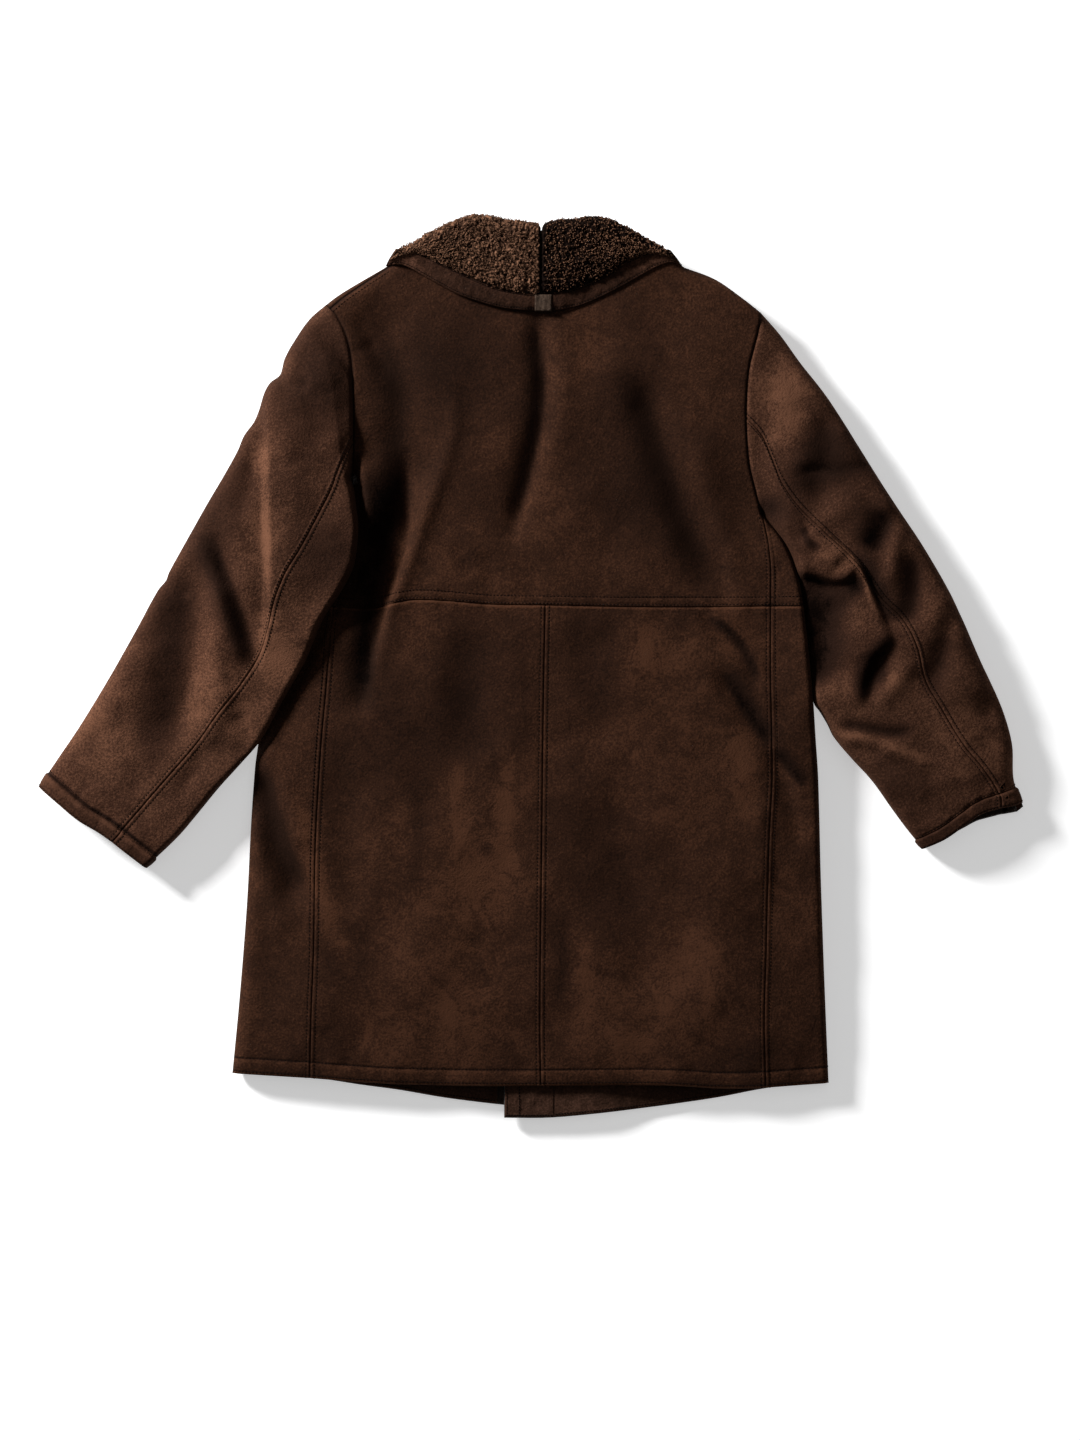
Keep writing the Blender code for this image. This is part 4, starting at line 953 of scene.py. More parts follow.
# ------------------------------------------------------------
# Sleeves. Each is a flat tube of two pieces, a top and an under sleeve, with one
# seam down the back of the arm and one hidden underneath; the cuff is turned up
# 20 mm and stitched round. The left sleeve lies over the body's edge.
SLEEVE_ROUND = 21.0
SLEEVE_LIFT = 20.0         # how high the left sleeve's underside passes over the body
OUTER_DROP, OUTER_SLOPE = 6.0, 62.0        # lower towards the outer edge
PRESSED_UPPER, PRESSED_LOWER = 11.0, 5.0   # lower along the right sleeve's inner edge
ELBOW = 0.4                # share of the sleeve's length
THINNEST = 17.5            # of a sleeve, with its hollow
CUFF_DEPTH = 20.0
CUFF_RAISED, CUFF_SWELL = 1.1, 2.3         # the turned edge stands out from the sleeve
AT_ARM_FOLD = (0, 0.6, 1.8, 3.8, 6.6, 10.2, 15, 21)
AT_ARMHOLE = (0, 0.6, 1.4, 2.4, 3.8, 5.6, 8, 11)
AT_CUFF_SEAM = (0, 0.6, 1.2, 1.9, 2.8, 4.2, 6.5, 9)
AT_CUFF = (20, 19.4, 18.7, 17.6, 15.6, 12.5, 9, 6, 4.2, 3.3, 2.5, 1.7, 0.9, 0.35, 0)
CUFF_ROW = 10              # row of the cuff's edge stitches
ROWS_ARM, COLS_TOP, COLS_UNDER = 200, 42, 30


class Arm:
    """The pattern lines of one sleeve and how high it lies."""

    def __init__(self, half, meet_y, outer, leave_y, inner, seam, cuff_outer, cuff_inner, own,
                 folds, lips):
        self.half, self.name, self.side = half, half.name, half.side
        self.meet = half.armhole.reach(meet_y)
        down = half.armhole.back()
        self.crown, self.gusset = down.part(0, 1 - self.meet), down.part(1 - self.meet, 1)
        self.outer, self.inner = Line(outer), self.beside_body(leave_y, inner)
        self.seam = Line([tuple(half.armhole.at(self.meet))] + seam)
        self.cuff_outer, self.cuff_inner = Line(cuff_outer), Line(cuff_inner)
        self.own, self.folds, self.lips = own, folds, lips
        inner_edge = self.inner.facing(half.side, first=UP)
        self.edges = [BODY_EDGES[2 if half.side < 0 else 3], inner_edge]

    def beside_body(self, leave_y, points):
        """Inner edge: pressed to the body's side down to leave_y, then on its own."""
        if leave_y is None:
            return Line([tuple(self.half.armhole.p[0])] + points)
        fold = self.half.fold
        shifted = Line(fold.p + fold.normal * (1.5 * self.side), rounded=False)
        down = shifted.part(fold.reach(leave_y), 1).back().p
        own = Line.through(np.vstack([down[-2:], points]))[7:]
        return Line(np.vstack([self.half.armhole.p[:1], down[1:], own]), rounded=False)

    def heights(self, xy, t):
        """Lower and upper height of the tube, and how wide and how full its edges turn."""
        x, y = xy[..., 0], xy[..., 1]
        to_arm = self.half.armhole.off(xy)
        to_inner, to_outer = self.inner.off(xy), self.outer.off(xy)
        high = np.interp(t, *self.own) - OUTER_DROP * (1 - ease(to_outer / OUTER_SLOPE))
        high += folds_at(xy, self.folds) + lips_at(xy, self.lips)
        high += 0.9 * ripple(xy, 70, 5) + 0.35 * ripple(xy, 26, 6)
        if self.side < 0:      # lifted where it passes over the body's side
            rise = 40 - 37 * ease((362 - y) / 40)
            line = LEFT.fold.p
            off = np.where(x > np.interp(y, line[:, 1], line[:, 0]), 0.0, LEFT.fold.off(xy))
            low = SLEEVE_LIFT * (1 - ease((off - 6) / 44)) * ease((209 - y) / 30)
        else:                  # pressed down beside the body, and less from the elbow on
            rise = 34.0
            beside = (1 - ease((to_inner - 4) / 60)) * ease((116 - y) / 40)
            high -= PRESSED_UPPER * beside * (1 - ease((t - ELBOW) / 0.16))
            high -= PRESSED_LOWER * (1 - ease(to_inner / 50)) * ease((t - ELBOW) / 0.2)
            low = np.zeros(xy.shape[:-1])
        near = ease(to_arm / rise) * ease(t / 0.005)
        high = body_height(xy) * (1 - near) + high * near
        if self.side < 0:
            high = np.minimum(high, np.maximum(low + 19, 37) + 3.5 * to_inner)
        at_inner = to_inner < to_outer
        crisp = np.where(at_inner & (self.side < 0), 1.8, 1.0)
        radius = np.where(at_inner, 8.0 + self.side, 15.0)
        return low, np.maximum(high, low + THINNEST), radius, crisp


LEFT_ARM = Arm(
    half=LEFT, meet_y=256.0, outer=OUTER_ARM_LEFT, leave_y=None, inner=INNER_ARM_LEFT[1:],
    seam=[(-216, 222), (-225, 197), (-239, 169), (-259, 131), (-276, 103), (-289, 71), (-296, 40),
        (-306, 11), (-328, -24), (-354, -57), (-377, -89), (-422, -141), (-474, -201)],
    cuff_outer=[(-558, -139), (-535, -158), (-512, -177), (-490, -190), (-474, -201)],
    cuff_inner=[(-474, -201), (-455, -216), (-437, -230)],
    own=([0, 0.06, 0.2, 0.35, 0.5, 0.65, 0.8, 0.92, 1], [41, 49, 52, 51, 44, 40, 38, 36, 34]),
    folds=[
        (3, 34, 22, [(-285, 330), (-272, 240), (-266, 150), (-272, 60)]),
        (-4, 10, 14, [(-315, 262), (-316, 220), (-322, 188), (-336, 160)]),
        (-13.5, 19, 38, [(-374, 130), (-377, 86), (-380, 51), (-385, 6), (-393, -40), (-404, -86),
            (-412, -120)]),
        (3.5, 14, 14, [(-362, 130), (-358, 74), (-354, 28), (-354, -17), (-363, -70)]),
        (4, 26, 26, [(-434, 28), (-459, -28), (-491, -85)]),
        (3, 12, 12, [(-338, -20), (-350, -55), (-372, -95)]),
        (-3, 9, 12, [(-330, -50), (-322, -80), (-330, -112)]),
        (-2.4, 7, 7, [(-252, 380), (-232, 370), (-209, 352), (-196, 340)]),
        (2, 18, 18, [(-229, 395), (-242, 348), (-251, 302)]),
        (-2.4, 10, 10, [(-370, -91), (-381, -122), (-402, -154)]),
        (-2.6, 7, 7, [(-290, 330), (-278, 319), (-262, 314), (-246, 316)]),
        (-2, 7, 7, [(-330, 262), (-316, 256), (-300, 258)]),
        (-2, 7, 7, [(-420, 98), (-402, 88), (-384, 76)]),
    ],
    lips=[
        (5, 30, 17, 12, [(-304, 340), (-300, 268), (-299, 222), (-299, 165), (-297, 120),
            (-298, 74), (-302, 25), (-312, -25)]),
        (6, 34, 18, 28, [(-319, -12), (-323, 17), (-331, 46), (-340, 74), (-351, 103),
            (-361, 131), (-368, 156)]),
    ])
RIGHT_ARM = Arm(
    half=RIGHT, meet_y=279.0, outer=OUTER_ARM_RIGHT, leave_y=-28.0,
    inner=[(322, -45), (328, -53), (337, -68), (344, -82), (364, -106), (387, -131), (410, -163),
        (427, -186), (446, -209)],
    seam=[(262, 259), (272, 236), (284, 206), (302, 180), (330, 152), (364, 120), (378, 103),
        (398, 74), (421, 51), (437, 19), (446, -17), (467, -54), (490, -91), (512, -117),
        (530, -145), (533, -163)],
    cuff_outer=[(558.5, -157), (545, -161), (533, -163)],
    cuff_inner=[(533, -163), (510, -170), (494, -181), (470, -198), (446, -209)],
    own=([0, 0.1, 0.25, 0.5, 0.75, 0.92, 1], [36, 41, 45, 46, 43, 37, 34]),
    folds=[
        (-4, 13, 17, [(410, 178), (402, 160), (395, 140), (388, 116)]),
        (3, 10, 10, [(420, 165), (414, 140), (409, 115), (404, 84)]),
        (-5, 13, 19, [(428, 136), (434, 112), (434, 86), (428, 60), (419, 38)]),
        (-5, 16, 18, [(346, 300), (336, 262), (330, 226), (330, 195), (338, 165)]),
        (-2, 7, 7, [(296, 214), (322, 220), (359, 222), (395, 226)]),
        (-1.5, 4, 5, [(305, 168), (316, 150), (322, 132), (318, 118)]),
        (-4.5, 12, 14, [(486, 78), (477, 50), (469, 24), (461, -4), (452, -40)]),
        (-3, 10, 12, [(530, -10), (523, -35), (516, -70)]),
        (4, 12, 12, [(394, -52), (405, -30), (418, -12), (436, 6)]),
        (3, 8, 8, [(335, -75), (362, -81), (393, -90), (425, -103), (465, -118)]),
        (-3, 7, 7, [(345, -67), (372, -71), (405, -78), (440, -74)]),
        (-1.8, 8, 8, [(342, -98), (368, -96), (400, -104)]),
        (2.5, 20, 20, [(376, -154), (410, -142), (455, -137)]),
        (3.5, 22, 22, [(450, 95), (476, 30), (505, -55)]),
        (4, 18, 18, [(308, 150), (330, 130), (352, 112)]),
        (-5, 18, 16, [(334, 80), (334, 20), (340, -30)]),
        (3, 18, 18, [(352, 70), (366, 40), (372, 0)]),
    ],
    lips=[
        (4, 18, 24, 8, [(290, 106), (303, 101), (321, 98), (340, 93), (354, 94), (362, 100),
            (369, 112)]),
        (3.2, 16, 12, 9, [(409, 14), (407, 30), (398, 51), (389, 74), (381, 96), (372, 114),
            (353, 131), (336, 146), (316, 160)]),
        (4, 20, 22, 20, [(378, -52), (378, -30), (382, -10), (392, 8), (404, 22), (416, 36)]),
    ])
thread_arms = Thread()


def sleeve(arm):
    """Top sleeve, under sleeve and turned cuff of one arm."""
    top, under, cuff = (Panel(name % arm.name) for name in (
        "sleeve_%s_top", "sleeve_%s_under", "cuff_band_%s"))
    size = arm.outer.length
    body = size - CUFF_DEPTH
    t = spaced(body, AT_ARMHOLE, AT_CUFF_SEAM, ROWS_ARM) * body / size
    split = len(t) - 1
    t = np.concatenate([t, 1 - np.array(AT_CUFF[1:]) / size])
    edge = np.outer((SIDE_ROUND + (SLEEVE_ROUND - SIDE_ROUND) * ease(t / 0.15)) / SLEEVE_ROUND,
                    AT_ARM_FOLD)
    join = np.repeat([AT_JOIN], len(t), 0)
    outer, seam, inner = arm.outer.at(t), arm.seam.at(t), arm.inner.at(t)
    u_top = spaced(np.linalg.norm(outer - seam, axis=1), edge, join, COLS_TOP)
    u_under = spaced(np.linalg.norm(seam - inner, axis=1), join, edge, COLS_UNDER)
    v = t[:, None]
    plan_top = coons(arm.crown, arm.cuff_outer, arm.outer, arm.seam, u_top,
                     np.repeat(v, u_top.shape[1], 1))
    plan_under = coons(arm.gusset, arm.cuff_inner, arm.seam, arm.inner, u_under,
                       np.repeat(v, u_under.shape[1], 1))
    from_edge = (1 - v) * size
    to_seam = from_edge - CUFF_DEPTH
    middle, half_wide = ((outer + inner) / 2)[:, None], np.linalg.norm(outer - inner, axis=1) / 2
    in_cuff = (to_seam < 0) * ease(-to_seam / 3.5)
    swell = CUFF_SWELL * in_cuff * (1 - 0.4 * ease((8 - from_edge) / 8)) / half_wide[:, None]

    def layers(xy):
        """Upper and lower layer over one plan."""
        tt = np.repeat(v, xy.shape[1], 1)
        low, high, radius, crisp = arm.heights(xy, tt)
        relief = flat_join(arm.seam.off(xy)) + CUFF_RAISED * in_cuff
        relief -= 2.2 * bell(arm.half.armhole.off(xy), 1.7, 1.5)
        relief -= stitched(to_seam, 0, 1.7, 1.1) + stitched(to_seam, 2.8, 0.8, 0.7)
        relief += bell(to_seam, 12) * 0.5 * ripple(xy, 14, 8) - stitched(from_edge, 2.5, 0.8, 0.7)
        radius = SIDE_ROUND + (radius - SIDE_ROUND) * ease(tt / 0.15)
        pair = []
        for upper in (True, False):
            out, inn = shell(xy, low, high, arm.edges, radius, upper, relief if upper else 0.0,
                             rolled(from_edge + 0 * low, 3.0), crisp)
            for points in (out, inn):
                points[..., :2] += (points[..., :2] - middle) * swell[..., None]
                if arm.side > 0 and not upper:     # this lower rim shows past the upper one
                    across = ease((points[..., 0] - 462) / 60) * ease((566 - points[..., 0]) / 12)
                    points[..., 1] -= 8 * ease(1 - from_edge / 45) * across
            pair.append((out, inn))
        return pair

    def lay(panel, layer, rows, upper, cols=slice(None)):
        panel.lay([points[rows, cols] for points in layer], upper == (arm.side < 0))

    arm_rows, cuff_rows = slice(None, split + 1), slice(split, None)
    hidden = u_under.shape[1] // 2
    tops, unders = layers(plan_top), layers(plan_under)
    lay(top, tops[0], arm_rows, True)
    lay(top, tops[1], arm_rows, False)
    lay(top, unders[1], arm_rows, False, slice(None, hidden + 1))
    lay(under, unders[0], arm_rows, True)
    lay(under, unders[1], arm_rows, False, slice(hidden, None))
    for layer, upper in zip(tops + unders, (True, False, True, False)):
        lay(cuff, layer, cuff_rows, upper)
    for skin, col, step in ((tops[0][0], -JOIN_ROW - 1, -1), (unders[0][0], JOIN_ROW, 1)):
        thread_arms.follow(skin[2:], cols=(col,), step=step)
        thread_arms.follow(skin, (split - 4, split + CUFF_ROW), step=-1)
    return top, under, cuff


# the sleeves' nap and painted light: painted highlights along the lit folds and caps, painted shade
# in the creases, in the body's shadow on the right sleeve and in the cuff's groove, and some
# lighter brushed nap
ARM_NAP_AND_PAINTED_LIGHT_SPOTS = [
    (0.4, 22, (-300, 235)), (0.4, 22, (-298, 150)), (0.5, 18, (-290, 40)), (0.7, 20, (-285, 4)),
    (-0.4, 36, (-352, 190)), (-0.4, 36, (-326, 236)), (-0.5, 30, (-370, 150)),
    (0.5, 16, (-274, 338)), (-0.9, 52, (-238, 325)), (-0.8, 42, (-226, 122)),
    (0.35, 50, (-480, -60)), (0.3, 40, (-375, -30)), (0.8, 32, (290, 310)), (0.5, 26, (300, 262)),
    (0.4, 40, (480, -90)), (0.5, 22, (345, 118)), (0.35, 40, (540, -120)),
    (-0.35, 40, (420, -130)), (-1.2, 24, (332, 252)), (-1.2, 26, (314, 218)),
    (-0.6, 24, (350, 226)), (-1.6, 13, (392, -8)), (-0.6, 24, (384, 160)), (-2.6, 10, (364, 89)),
    (-1.0, 20, (345, 70)), (-0.7, 28, (330, 46)), (-1.3, 11, (268, 178)), (0.7, 16, (366, 52)),
    (0.5, 20, (350, -20)), (0.8, 12, (412, -18)), (-0.4, 26, (342, 12)), (-0.7, 24, (284, 172)),
    (-0.4, 20, (302, 132)),
]
ARM_NAP_AND_PAINTED_LIGHT_LINES = [
    (0.35, 6, 15, [(-305, 272), (-301, 240), (-298, 195), (-297, 150), (-296, 110), (-300, 62)]),
    (-0.9, 18, 26, [(-396, 120), (-400, 70), (-404, 20), (-410, -30), (-424, -80), (-440, -116)]),
    (-1.6, 8, 15, [(-368, 156), (-361, 131), (-350, 103), (-339, 74), (-330, 46), (-322, 17),
        (-319, -8)]),
    (-1.4, 12, 12, [(426, 128), (430, 100), (427, 72), (418, 44)]),
    (-1.4, 15, 3, [(358, 131), (375, 112), (385, 92), (396, 68), (409, 40)]),
    (0.8, 2, 4, [(334, 144), (352, 130), (369, 113), (377, 96), (385, 74), (396, 48)]),
    (-2.0, 10, 12, [(402, 176), (396, 160), (388, 144), (380, 128)]),
    (-2.2, 8, 11, [(412, 38), (402, 20), (388, 6), (381, -10), (378, -30), (380, -44)]),
    (-1.8, 26, 5, [(302, 112), (309, 80), (314, 50), (319, 10), (324, -34)]),
    (-1.4, 3, 4, [(292, 103), (306, 99), (322, 96), (342, 91), (352, 92)]),
    (-1.2, 3, 4, [(307, 158), (312, 142), (320, 134), (330, 132)]),
    (-0.7, 5, 5, [(366, 122), (380, 102), (392, 84), (404, 62)]),
    (-0.8, 6, 9, [(300, 216), (324, 222), (359, 223), (392, 227)]),
    (0.9, 6, 8, [(340, -74), (366, -80), (396, -88), (428, -100), (466, -116)]),
    (-1.0, 6, 7, [(345, -66), (372, -70), (405, -76), (440, -72)]),
    (-0.7, 12, 14, [(470, 40), (464, 10), (458, -20), (452, -45)]),
    (-2.0, 1.6, 1.6, [(-575, -100), (-547.5, -122), (-524.5, -141), (-501.5, -160),
        (-479.5, -173), (-463.5, -184), (-444.5, -199), (-426.5, -213), (-400, -236)]),
    (0.9, 2.5, 2.5, [(-579, -105), (-551, -127), (-528, -146), (-505, -165), (-483, -178),
        (-467, -189), (-448, -204), (-430, -218), (-404, -241)]),
]


def arm_nap_and_painted_light(points):
    """How light the sleeves' suede is: worn a little lighter all over, with the painted highlights
    and painted shade listed above.
    """
    xy = points[:, :2]
    return (np.where(xy[:, 0] < 0, 0.12, 0.1) + folds_at(xy, ARM_NAP_AND_PAINTED_LIGHT_LINES)
            + spots_at(xy, ARM_NAP_AND_PAINTED_LIGHT_SPOTS))


# lighter than the body's suede: partly worn paler, partly painted light for the brighter-lit
# sleeves; its lightest shade is what the painted highlights on the folds reach
ARM_SUEDE = suede("arm_suede", (0.015, 0.0068, 0.0043), (0.033, 0.0142, 0.0084),
                  (0.105, 0.046, 0.026), 0.05, 0.35)
CUFF_SUEDE = suede("cuff_suede", (0.013, 0.006, 0.004), (0.028, 0.0122, 0.0073),
                   (0.06, 0.026, 0.015), 0.05)
arms = [sleeve(arm) for arm in (LEFT_ARM, RIGHT_ARM)]
stitching = thread_arms.build("thread_sleeves", THREAD)
for arm, pieces in zip((LEFT_ARM, RIGHT_ARM), arms):
    rests = ["suede_front_lower_left", "floor"] if arm.side < 0 else ["floor"]
    top, under, cuff = (p.sew([finish, WOOL, finish], arm_nap_and_painted_light)
                        for p, finish in zip(pieces, (ARM_SUEDE, ARM_SUEDE, CUFF_SUEDE)))
    dress(top, pieces[0].node, rests,
          [stitching] if arm.side < 0 else [])
    dress(under, pieces[1].node, rests)
    dress(cuff, pieces[2].node, ["floor"])

# ------------------------------------------------------------
# Collar. Two halves of long-pile sheepskin joined at the centre back; they stand up
# from the neck seam, fold over and lie down on the back with the wool outside.
NECK_ROOM = 1.3            # clear of the neck seam and of the back under it
HIDE = 6.0                 # the collar's own skin
PILE = 6.0                 # wool standing on it
CURL = 3.8                 # width of one curl
NECK_HEIGHT, NECK_FALL = 22.0, 5.0         # of the neck seam, and down to the shoulders
# relief of the wool: curls, smaller ones on them, uneven clumps, and the seam's groove
CURL_TALL, TWIST_TALL, CLUMP_TALL, PILE_SUNK, SEAM_DEEP = 3.4, 1.4, 0.7, 2.0, 4.0


class Leaf:
    """One half of the collar, with the suede band that edges it."""

    def __init__(self, half, fold, edge, hem):
        self.half, self.side, self.name = half, half.side, half.name
        self.neck, self.fold = half.neck_back, Line(fold)
        self.edge, self.hem = Line(edge), Line(hem)

    def section(self, f, arc, fall):
        """Rows of points over the fold: wool side, hide under it, and the back of the hide."""
        neck, fold, edge = self.neck.at(f), self.fold.at(f), self.edge.at(f)
        way = fold - neck
        way /= np.linalg.norm(way, axis=1)[:, None]
        neck = neck + way * NECK_ROOM
        full = HIDE + PILE
        radius = full + 1.0
        low = NECK_HEIGHT - NECK_FALL * ease((f - 0.6) / 0.4)
        pivot = fold - way * radius
        rows = []
        for k in np.linspace(0, 1, 6)[:-1]:                  # flat from the neck seam
            rows.append([placed(neck + (pivot - neck) * k, low + d) for d in (0, PILE, full)])
        for turn in np.radians(np.linspace(-90, 90, arc)):   # round the fold
            rows.append([placed(pivot + way * math.cos(turn) * (radius - d),
                                low + radius + math.sin(turn) * (radius - d))
                         for d in (0, PILE, full)])
        rest = back_top(edge) + NECK_ROOM
        for k in np.linspace(0, 1, fall)[1:]:                # down to the edge on the back
            plan = pivot + (edge - pivot) * k
            top = (low + 2 * radius) * (1 - k) + (rest + full - 1.0) * k
            under = (low + radius + 1.0) * (1 - k) + rest * k
            on_back = back_top(plan) + NECK_ROOM
            under = np.maximum(under, np.where(plan[:, 1] < neck[:, 1] + 3, on_back, 0))
            top = np.maximum(top, under + full - 1.5)
            to_edge = np.linalg.norm(edge - pivot, axis=1) * (1 - k)
            top = top - (8.25 + 0.75 * self.side) * rolled(to_edge, 19)
            hide = under + (top - under) * 0.5
            rows.append([placed(plan, z) for z in (top, hide, under)])
        return tuple(np.array([row[i] for row in rows]) for i in range(3))


LEAVES = [
    Leaf(
        half=LEFT,
        fold=[(12, 497), (-4, 500), (-24, 502), (-48, 507), (-66, 508), (-90, 500), (-114, 488),
            (-136, 476), (-151, 467)],
        edge=[(12, 418), (-12, 420.5), (-35, 425), (-58, 433.5), (-80, 443.5), (-103, 454.5),
            (-118, 462.5), (-134, 469), (-152, 470)],
        hem=[(12, 399), (-12, 400.5), (-35, 403.5), (-58, 410), (-81, 418), (-103, 429.5),
            (-118, 438), (-132, 446), (-146, 452), (-164, 452)]),
    Leaf(
        half=RIGHT,
        fold=[(12, 497), (26, 501), (46, 503), (66, 505.5), (82, 505), (100, 498), (124, 485),
            (142, 475), (157, 466)],
        edge=[(12, 418), (34, 421.5), (56, 427.5), (79, 437.5), (91, 444), (102, 452),
            (113, 458.5), (125, 463.5), (140, 468.5), (158, 469)],
        hem=[(12, 399), (33, 400.5), (56, 406), (78, 415), (101, 426.5), (123, 439), (137, 447),
            (150, 453), (160, 455), (171, 452.5)]),
]


def curls(a, b, size, seed):
    """Rounded tufts on a surface measured in millimetres: 1 on a tip, 0 in a gap."""
    draw = np.random.default_rng(seed)
    warp = np.stack([a, b], -1)
    a = a + 0.45 * size * ripple(warp, size * 3.1, seed + 1)
    b = b + 0.45 * size * ripple(warp, size * 3.1, seed + 2)
    i, j = np.floor(a / size).astype(int), np.floor(b / size).astype(int)
    i0, j0 = i.min() - 1, j.min() - 1
    seeds = draw.uniform(0.1, 0.9, (i.max() - i0 + 2, j.max() - j0 + 2, 2))
    tall = draw.uniform(0.55, 1.0, seeds.shape[:2])
    best = np.full(a.shape, 9.0)
    size_of = np.ones(a.shape)
    for di in (-1, 0, 1):
        for dj in (-1, 0, 1):
            p = seeds[i - i0 + di, j - j0 + dj]
            d = np.hypot((i + di + p[..., 0]) - a / size, (j + dj + p[..., 1]) - b / size)
            size_of = np.where(d < best, tall[i - i0 + di, j - j0 + dj], size_of)
            best = np.minimum(best, d)
    return np.clip(1 - (best / 0.78) ** 2, 0, 1) * size_of


def wool_finish():
    """Curly brown wool, dark down in the pile and bleached at the tips."""
    wool = Finish("collar_wool", {"Specular IOR Level": 0.03})
    tip = wool.marks("worn")
    strands = wool.noise(520, 4, 0.65, 1.2)
    cloud = wool.noise(26, 3)
    level = tip * 1.3 + strands * 0.9 + cloud * 0.3 - 0.87
    colour = wool.blend(level.step(0.0, 0.5), (0.004, 0.002, 0.0013, 1), (0.03, 0.0145, 0.0085, 1))
    colour = wool.blend(level.step(0.47, 1.02), colour, (0.195, 0.096, 0.055, 1))
    wool.bumps((strands, 0.0012, 0.8))
    return wool.paint(colour, strands * 0.1 + 0.86)


COLLAR_WOOL = wool_finish()


# one loose lock, ring by ring: how far it lifts, leans out, its radius, how bleached it is
LOCK = ((-0.9, 0, 0.55, 0.2), (0.5, 0.4, 0.62, 0.55), (1.2, 1.3, 0.5, 0.8), (0.9, 2.2, 0.36, 1.0),
        (0.1, 2.5, 0.05, 0.9))
LOCKS = 2400
THIRD_TURN = 2.0944
PILE_FROM = 14             # row over the fold where the wool begins


def pile(leaf, wool, hide):
    """The wool: a relief of curls with loose locks standing out of it."""
    wool, hide = wool[PILE_FROM:], hide[PILE_FROM:]
    rows, cols = wool.shape[:2]
    a = np.tile(np.linspace(0, leaf.fold.length, cols), (rows, 1))
    if leaf.side < 0:
        a = -a
    step = np.linalg.norm(np.diff(wool[:, cols // 3], axis=0), axis=1)
    b = np.tile(np.concatenate([[0], np.cumsum(step)])[:, None], (1, cols))
    du, dv = np.gradient(wool, axis=1), np.gradient(wool, axis=0)
    out = np.cross(du, dv) * (-leaf.side)
    out /= np.maximum(np.linalg.norm(out, axis=-1), 1e-9)[..., None]
    if out[rows // 2, cols // 2, 2] < 0:
        out = -out
    big, small = curls(a, b, CURL, 11), curls(a, b, CURL * 0.55, 12)
    clump = ripple(np.stack([a, b], -1), 19, 13)
    seam = bell(a, 1.6 + 0.5 * ripple(np.stack([0 * b, b], -1), 14, 14))
    height = (CURL_TALL * big + TWIST_TALL * small + CLUMP_TALL * clump - PILE_SUNK
              - SEAM_DEEP * seam)
    to_side = np.abs(a[:, -1:] - a)
    height *= ease(to_side / 5)
    if leaf.side < 0:          # a short pieced seam just above the tab
        height -= 3.5 * bell(wool[..., 0] + 4, 1.6) * ease((444 - wool[..., 1]) / 6)
    top = wool + out * height[..., None]
    for rim in (np.s_[0], np.s_[-1], np.s_[:, -1]):
        top[rim] = hide[rim]
    tip = np.clip(0.1 + 0.7 * big + 0.35 * small - 0.9 * seam, 0, 1)
    if leaf.side > 0:          # painted shade: this half lies turned from the light, so its tips are painted darker
        tip = tip * 0.68 - 0.3
    ids = np.arange(rows * cols).reshape(rows, cols)
    quads = np.stack([ids[:-1, :-1], ids[1:, :-1], ids[1:, 1:], ids[:-1, 1:]], -1).reshape(-1, 4)
    quads = quads[:, ::-1] if leaf.side > 0 else quads
    verts, marks, faces = [top.reshape(-1, 3)], [tip.ravel()], quads.tolist()

    draw = np.random.default_rng(21 if leaf.side < 0 else 22)
    i = draw.integers(3, rows - 1, LOCKS)
    j = draw.integers(2, cols - 3, LOCKS)
    root, up = top[i, j], out[i, j]
    along = du[i, j] / np.linalg.norm(du[i, j], axis=1)[:, None]
    down = np.cross(up, along)
    turn = draw.uniform(0, 2 * math.pi, LOCKS)[:, None]
    lean = along * np.cos(turn) + down * np.sin(turn)
    side = np.cross(up, lean)
    size = draw.uniform(0.7, 1.25, LOCKS)[:, None]
    size = size * (np.abs(a[i, j]) > 4)[:, None] * ease(to_side[i, j] / 8)[:, None]
    rings = []
    for lift, out_by, thick, _ in LOCK:
        for k in range(3):
            c, s = math.cos(k * THIRD_TURN), math.sin(k * THIRD_TURN)
            rings.append(root + (up * (lift + s * thick) + lean * out_by + side * c * thick) * size)
    verts.append(np.stack(rings, 1).reshape(-1, 3))
    marks.append(np.tile(np.repeat([bleached for *_, bleached in LOCK], 3), LOCKS))
    faces += tubes(LOCKS, len(LOCK), 3, len(verts[0]))
    obj = smooth_mesh("wool_pile_" + leaf.name, np.vstack(verts), faces, [COLLAR_WOOL],
                      np.concatenate(marks))
    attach(obj, "root")
    return obj


for leaf in LEAVES:
    wool, hide, back = leaf.section(np.linspace(0, 1, 165), arc=36, fall=74)
    panel = Panel("collar_" + leaf.name)
    panel.lay((hide[:, ::3], back[:, ::3]), leaf.side > 0)
    obj = panel.sew([WOOL, SUEDE, WOOL])
    dress(obj, panel.node, ["suede_back_upper"],
          [pile(leaf, wool, hide)])

# ------------------------------------------------------------
# Collar band. A strip of suede sewn along the collar's edge, padded by the wool
# folded into it, with a stitch row near each side; its ends turn over the shoulders.
BAND_DEEP = 5.0
SEWN_GAP = 0.9             # between the back and what is sewn or laid on it
AT_BAND = (0, 0.4, 1.0, 1.7, 2.4, 3.1, 4.2)
BAND_ROW = 4
BAND_PITCH = 3.3           # length of a stitch
thread_collar = Thread()


def band_painted_light(points):
    """Painted highlight at the band's ends over the shoulders, lightening them where the collar's
    roll shades them; a little darker elsewhere.
    """
    return 0.8 * ease((np.abs(points[:, 0]) - 105) / 35) - 0.2


